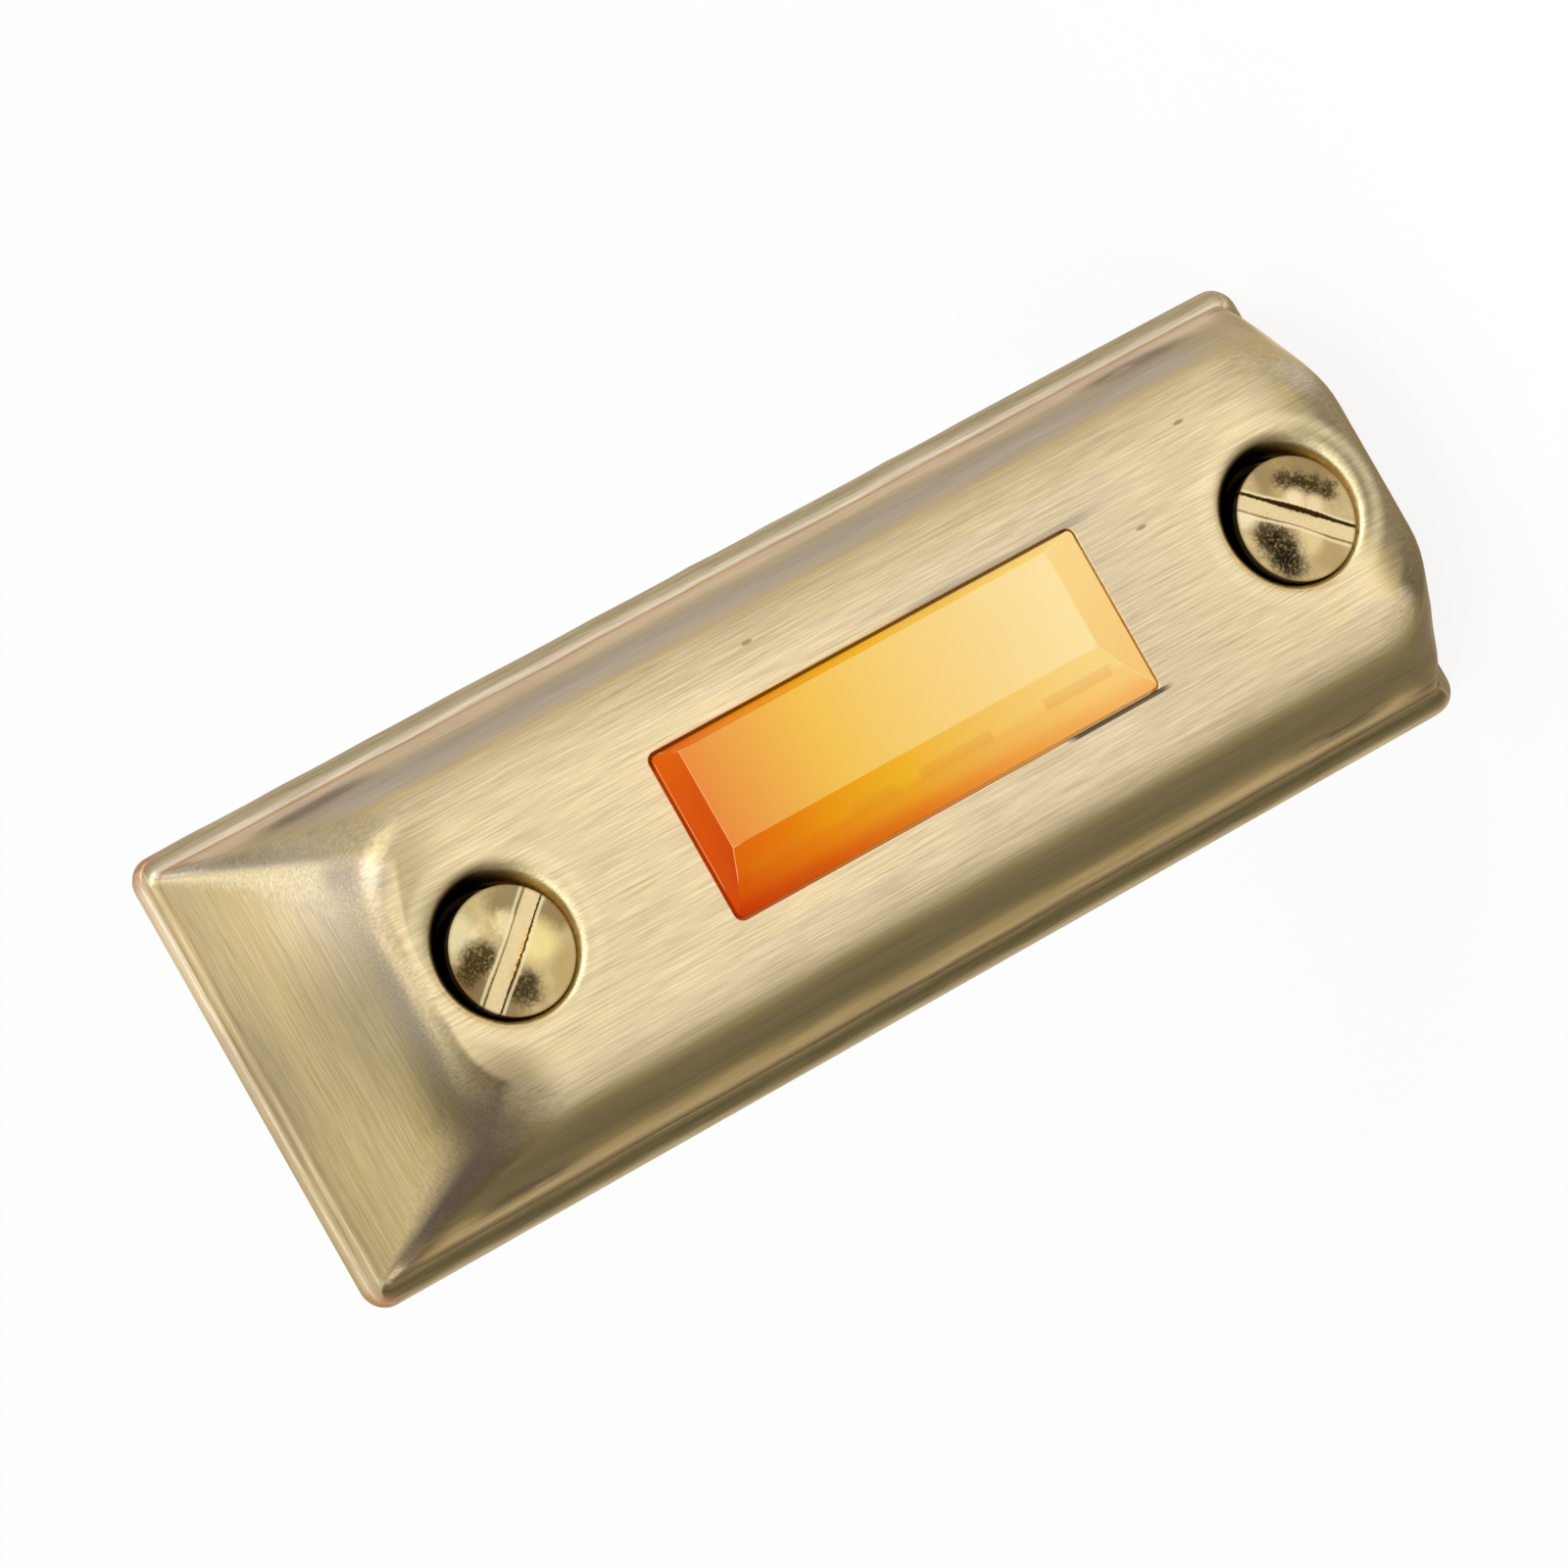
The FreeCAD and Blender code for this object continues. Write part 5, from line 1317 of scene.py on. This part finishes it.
class DOORBELL_OT_mounting_screws(bpy.types.Operator):
    """Slotted brass wood screws"""

    bl_idname = "doorbell.mounting_screws"
    bl_label = "Mounting screws"

    def execute(self, context):
        settings = context.scene.doorbell.screws
        shank = threaded_shank()
        depth, sink = FRONT - WELL_DEPTH, 0.4
        head = {**MOUNTING_HEAD, "dent": settings.dent / MM}
        for end, way in ENDS:
            node = f"mounting_screw_{end}"
            _, middle, high = box_mm(node)
            seat = Vector((middle.x, -depth, way * SCREW_PLACE))
            turn = HEAD_TURNS[end]
            looks = (*HEAD_LOOKS[end], settings.tarnish)
            brass = paint_polished(f"screw_brass_{end}", seat, turn, *looks)
            build_screw(
                node, brass, "polished_brass", shank, seat, high.y + depth, sink, head, turn,
                Plain=(depth + sink) * MM, Pitch=settings.pitch,
            )
        return {"FINISHED"}


class DOORBELL_OT_base(bpy.types.Operator):
    """Black moulded base"""

    bl_idname = "doorbell.base"
    bl_label = "Base"

    def execute(self, context):
        slot = "black_plastic"
        black = paint_plain(slot, (26, 25, 24), (36, 35, 33), 0.35, 0.42, grain_height=0.02)
        soften("base", black, slot, 0.12, name="base_tray")
        return {"FINISHED"}


class DOORBELL_OT_terminals(bpy.types.Operator):
    """Terminal bushes, washers and screws"""

    bl_idname = "doorbell.terminals"
    bl_label = "Terminals"

    def execute(self, context):
        slot = "terminal_steel"
        plated = paint_plain(slot, (190, 188, 182), (160, 157, 148), 1.2, 0.3, 1.0)
        shank = threaded_shank()
        head = {**TERMINAL_HEAD, "dent": context.scene.doorbell.screws.dent / MM / 2}
        for end, way in ENDS:
            for part in ("bush", "washer"):
                soften(f"terminal_{part}_{end}", plated, slot)
            node = f"terminal_screw_{end}"
            low, middle, _ = box_mm(node)
            seat = Vector((middle.x, -TERMINAL_SEAT, middle.z))
            build_screw(
                node, plated, slot, shank, seat, -low.y - TERMINAL_SEAT, 0.3, head, 0.5 * way,
                facing=Matrix.Rotation(pi, 4, "X"), **TERMINAL_SHANK,
            )
        return {"FINISHED"}


class DOORBELL_OT_springs(bpy.types.Operator):
    """Return springs, which shorten with the push bar"""

    bl_idname = "doorbell.springs"
    bl_label = "Return springs"

    def execute(self, context):
        slot = "spring_steel"
        steel = paint_plain(slot, (150, 150, 150), (110, 110, 112), 2.0, 0.28, 1.0)
        coil = coil_spring()
        wire = coil.defaults["Wire"]
        for end, _ in ENDS:
            node = f"return_spring_{end}"
            name = f"{node}_coil"
            low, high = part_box(node)
            span = high.y - low.y
            start = Vector(((low.x + high.x) / 2, high.y - wire, (low.z + high.z) / 2))
            place = Matrix.Translation(start) @ Matrix.Rotation(pi, 4, "X")
            mesh = coil.make(name, steel, place, Length=span - 2 * wire)
            piece = dress(link_piece(name, mesh, 60.0), steel, slot, node)
            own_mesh(piece)
        return {"FINISHED"}


class DOORBELL_OT_contacts(bpy.types.Operator):
    """Contact bridge, strips and silver points"""

    bl_idname = "doorbell.contacts"
    bl_label = "Contacts"

    def execute(self, context):
        slot = "contact_brass"
        brass = paint_plain(slot, (205, 172, 96), (182, 148, 78), 0.8, 0.3, 1.0)
        silver = paint_plain("silver", (222, 222, 218), (196, 195, 190), 1.5, 0.22, 1.0)
        soften("contact_bridge", brass, slot, name="contact_bridge_bar", body="button")
        for end, _ in ENDS:
            soften(f"contact_strip_{end}", brass, slot)
            node = f"contact_point_{end}"
            _, middle, high = box_mm(node)
            point = turned_piece(f"{node}_rivet", RIVET, high.y, x=middle.x)
            dress(point, silver, "silver", node)
        return {"FINISHED"}


class DOORBELL_OT_board(bpy.types.Operator):
    """Circuit board with its lamps, resistor, diode and jumpers"""

    bl_idname = "doorbell.board"
    bl_label = "Circuit board"

    def execute(self, context):
        green = paint_plain("board_green", (48, 92, 52), (40, 78, 46), 0.6, 0.4)
        tinned = paint_plain("tinned_wire", (200, 200, 198), (176, 176, 174), 2.5, 0.3, 1.0)
        lens = paint_plain(
            "lamp_lens", (250, 196, 96), (246, 180, 72), 0.5, 0.14, Transmission_Weight=0.4,
            IOR=1.5, Emission_Color=(255, 190, 90), Emission_Strength=0.5,
        )
        soften("circuit_board", green, "board", name="board_plate")
        dome = [
            (BULB_RADIUS * cos(angle), BULB_RISE + BULB_RADIUS * sin(angle))
            for angle in arc_steps(0.15, pi / 2 - 0.1, 8)
        ]
        for end, _ in ENDS:
            node = f"lamp_{end}"
            _, middle, high = box_mm(node)
            bulb = turned_piece(f"{node}_bulb", [*BULB, *dome], high.y, z=middle.z)
            dress(bulb, lens, "lamp_lens", node)
            soften(f"jumper_{end}", tinned, "tinned_wire", 0.02)
        banded = {
            "resistor": ((206, 182, 138), (
                (-0.62, 0.1, (120, 66, 30)), (-0.28, 0.1, (30, 28, 26)), (0.06, 0.1, (170, 34, 26)),
                (0.66, 0.1, (190, 150, 60)),
            )),
            "diode": ((34, 32, 32), ((0.7, 0.14, (206, 206, 204)),)),
        }
        for node, looks in banded.items():
            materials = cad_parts[node].data.materials
            materials.clear()
            materials.append(paint_banded(node, *looks))
        return {"FINISHED"}


OPERATORS = (
    DOORBELL_OT_stage,
    DOORBELL_OT_cover,
    DOORBELL_OT_push_bar,
    DOORBELL_OT_mounting_screws,
    DOORBELL_OT_base,
    DOORBELL_OT_terminals,
    DOORBELL_OT_springs,
    DOORBELL_OT_contacts,
    DOORBELL_OT_board,
)


class DOORBELL_PT_panel(bpy.types.Panel):
    """The steps that build the doorbell push button, and their settings"""

    bl_idname = "DOORBELL_PT_panel"
    bl_label = "Doorbell push button"
    bl_space_type = "VIEW_3D"
    bl_region_type = "UI"
    bl_category = "Doorbell"

    def draw(self, context):
        settings = context.scene.doorbell
        for operator in OPERATORS:
            self.layout.operator(operator.bl_idname)
        for group in (settings.stage, settings.cover, settings.bar, settings.screws):
            column = self.layout.column(align=True)
            for name in group.__annotations__:
                column.prop(group, name)


GROUPS = (StageSettings, CoverSettings, BarSettings, ScrewSettings, DoorbellSettings)
CLASSES = (*GROUPS, *OPERATORS, DOORBELL_PT_panel)


def register():
    for item in CLASSES:
        bpy.utils.register_class(item)
    bpy.types.Scene.doorbell = PointerProperty(type=DoorbellSettings)


def unregister():
    del bpy.types.Scene.doorbell
    for item in reversed(CLASSES):
        bpy.utils.unregister_class(item)


def main():
    register()
    for operator in OPERATORS:
        group, name = operator.bl_idname.split(".")
        getattr(getattr(bpy.ops, group), name)()


if __name__ == "__main__":
    main()
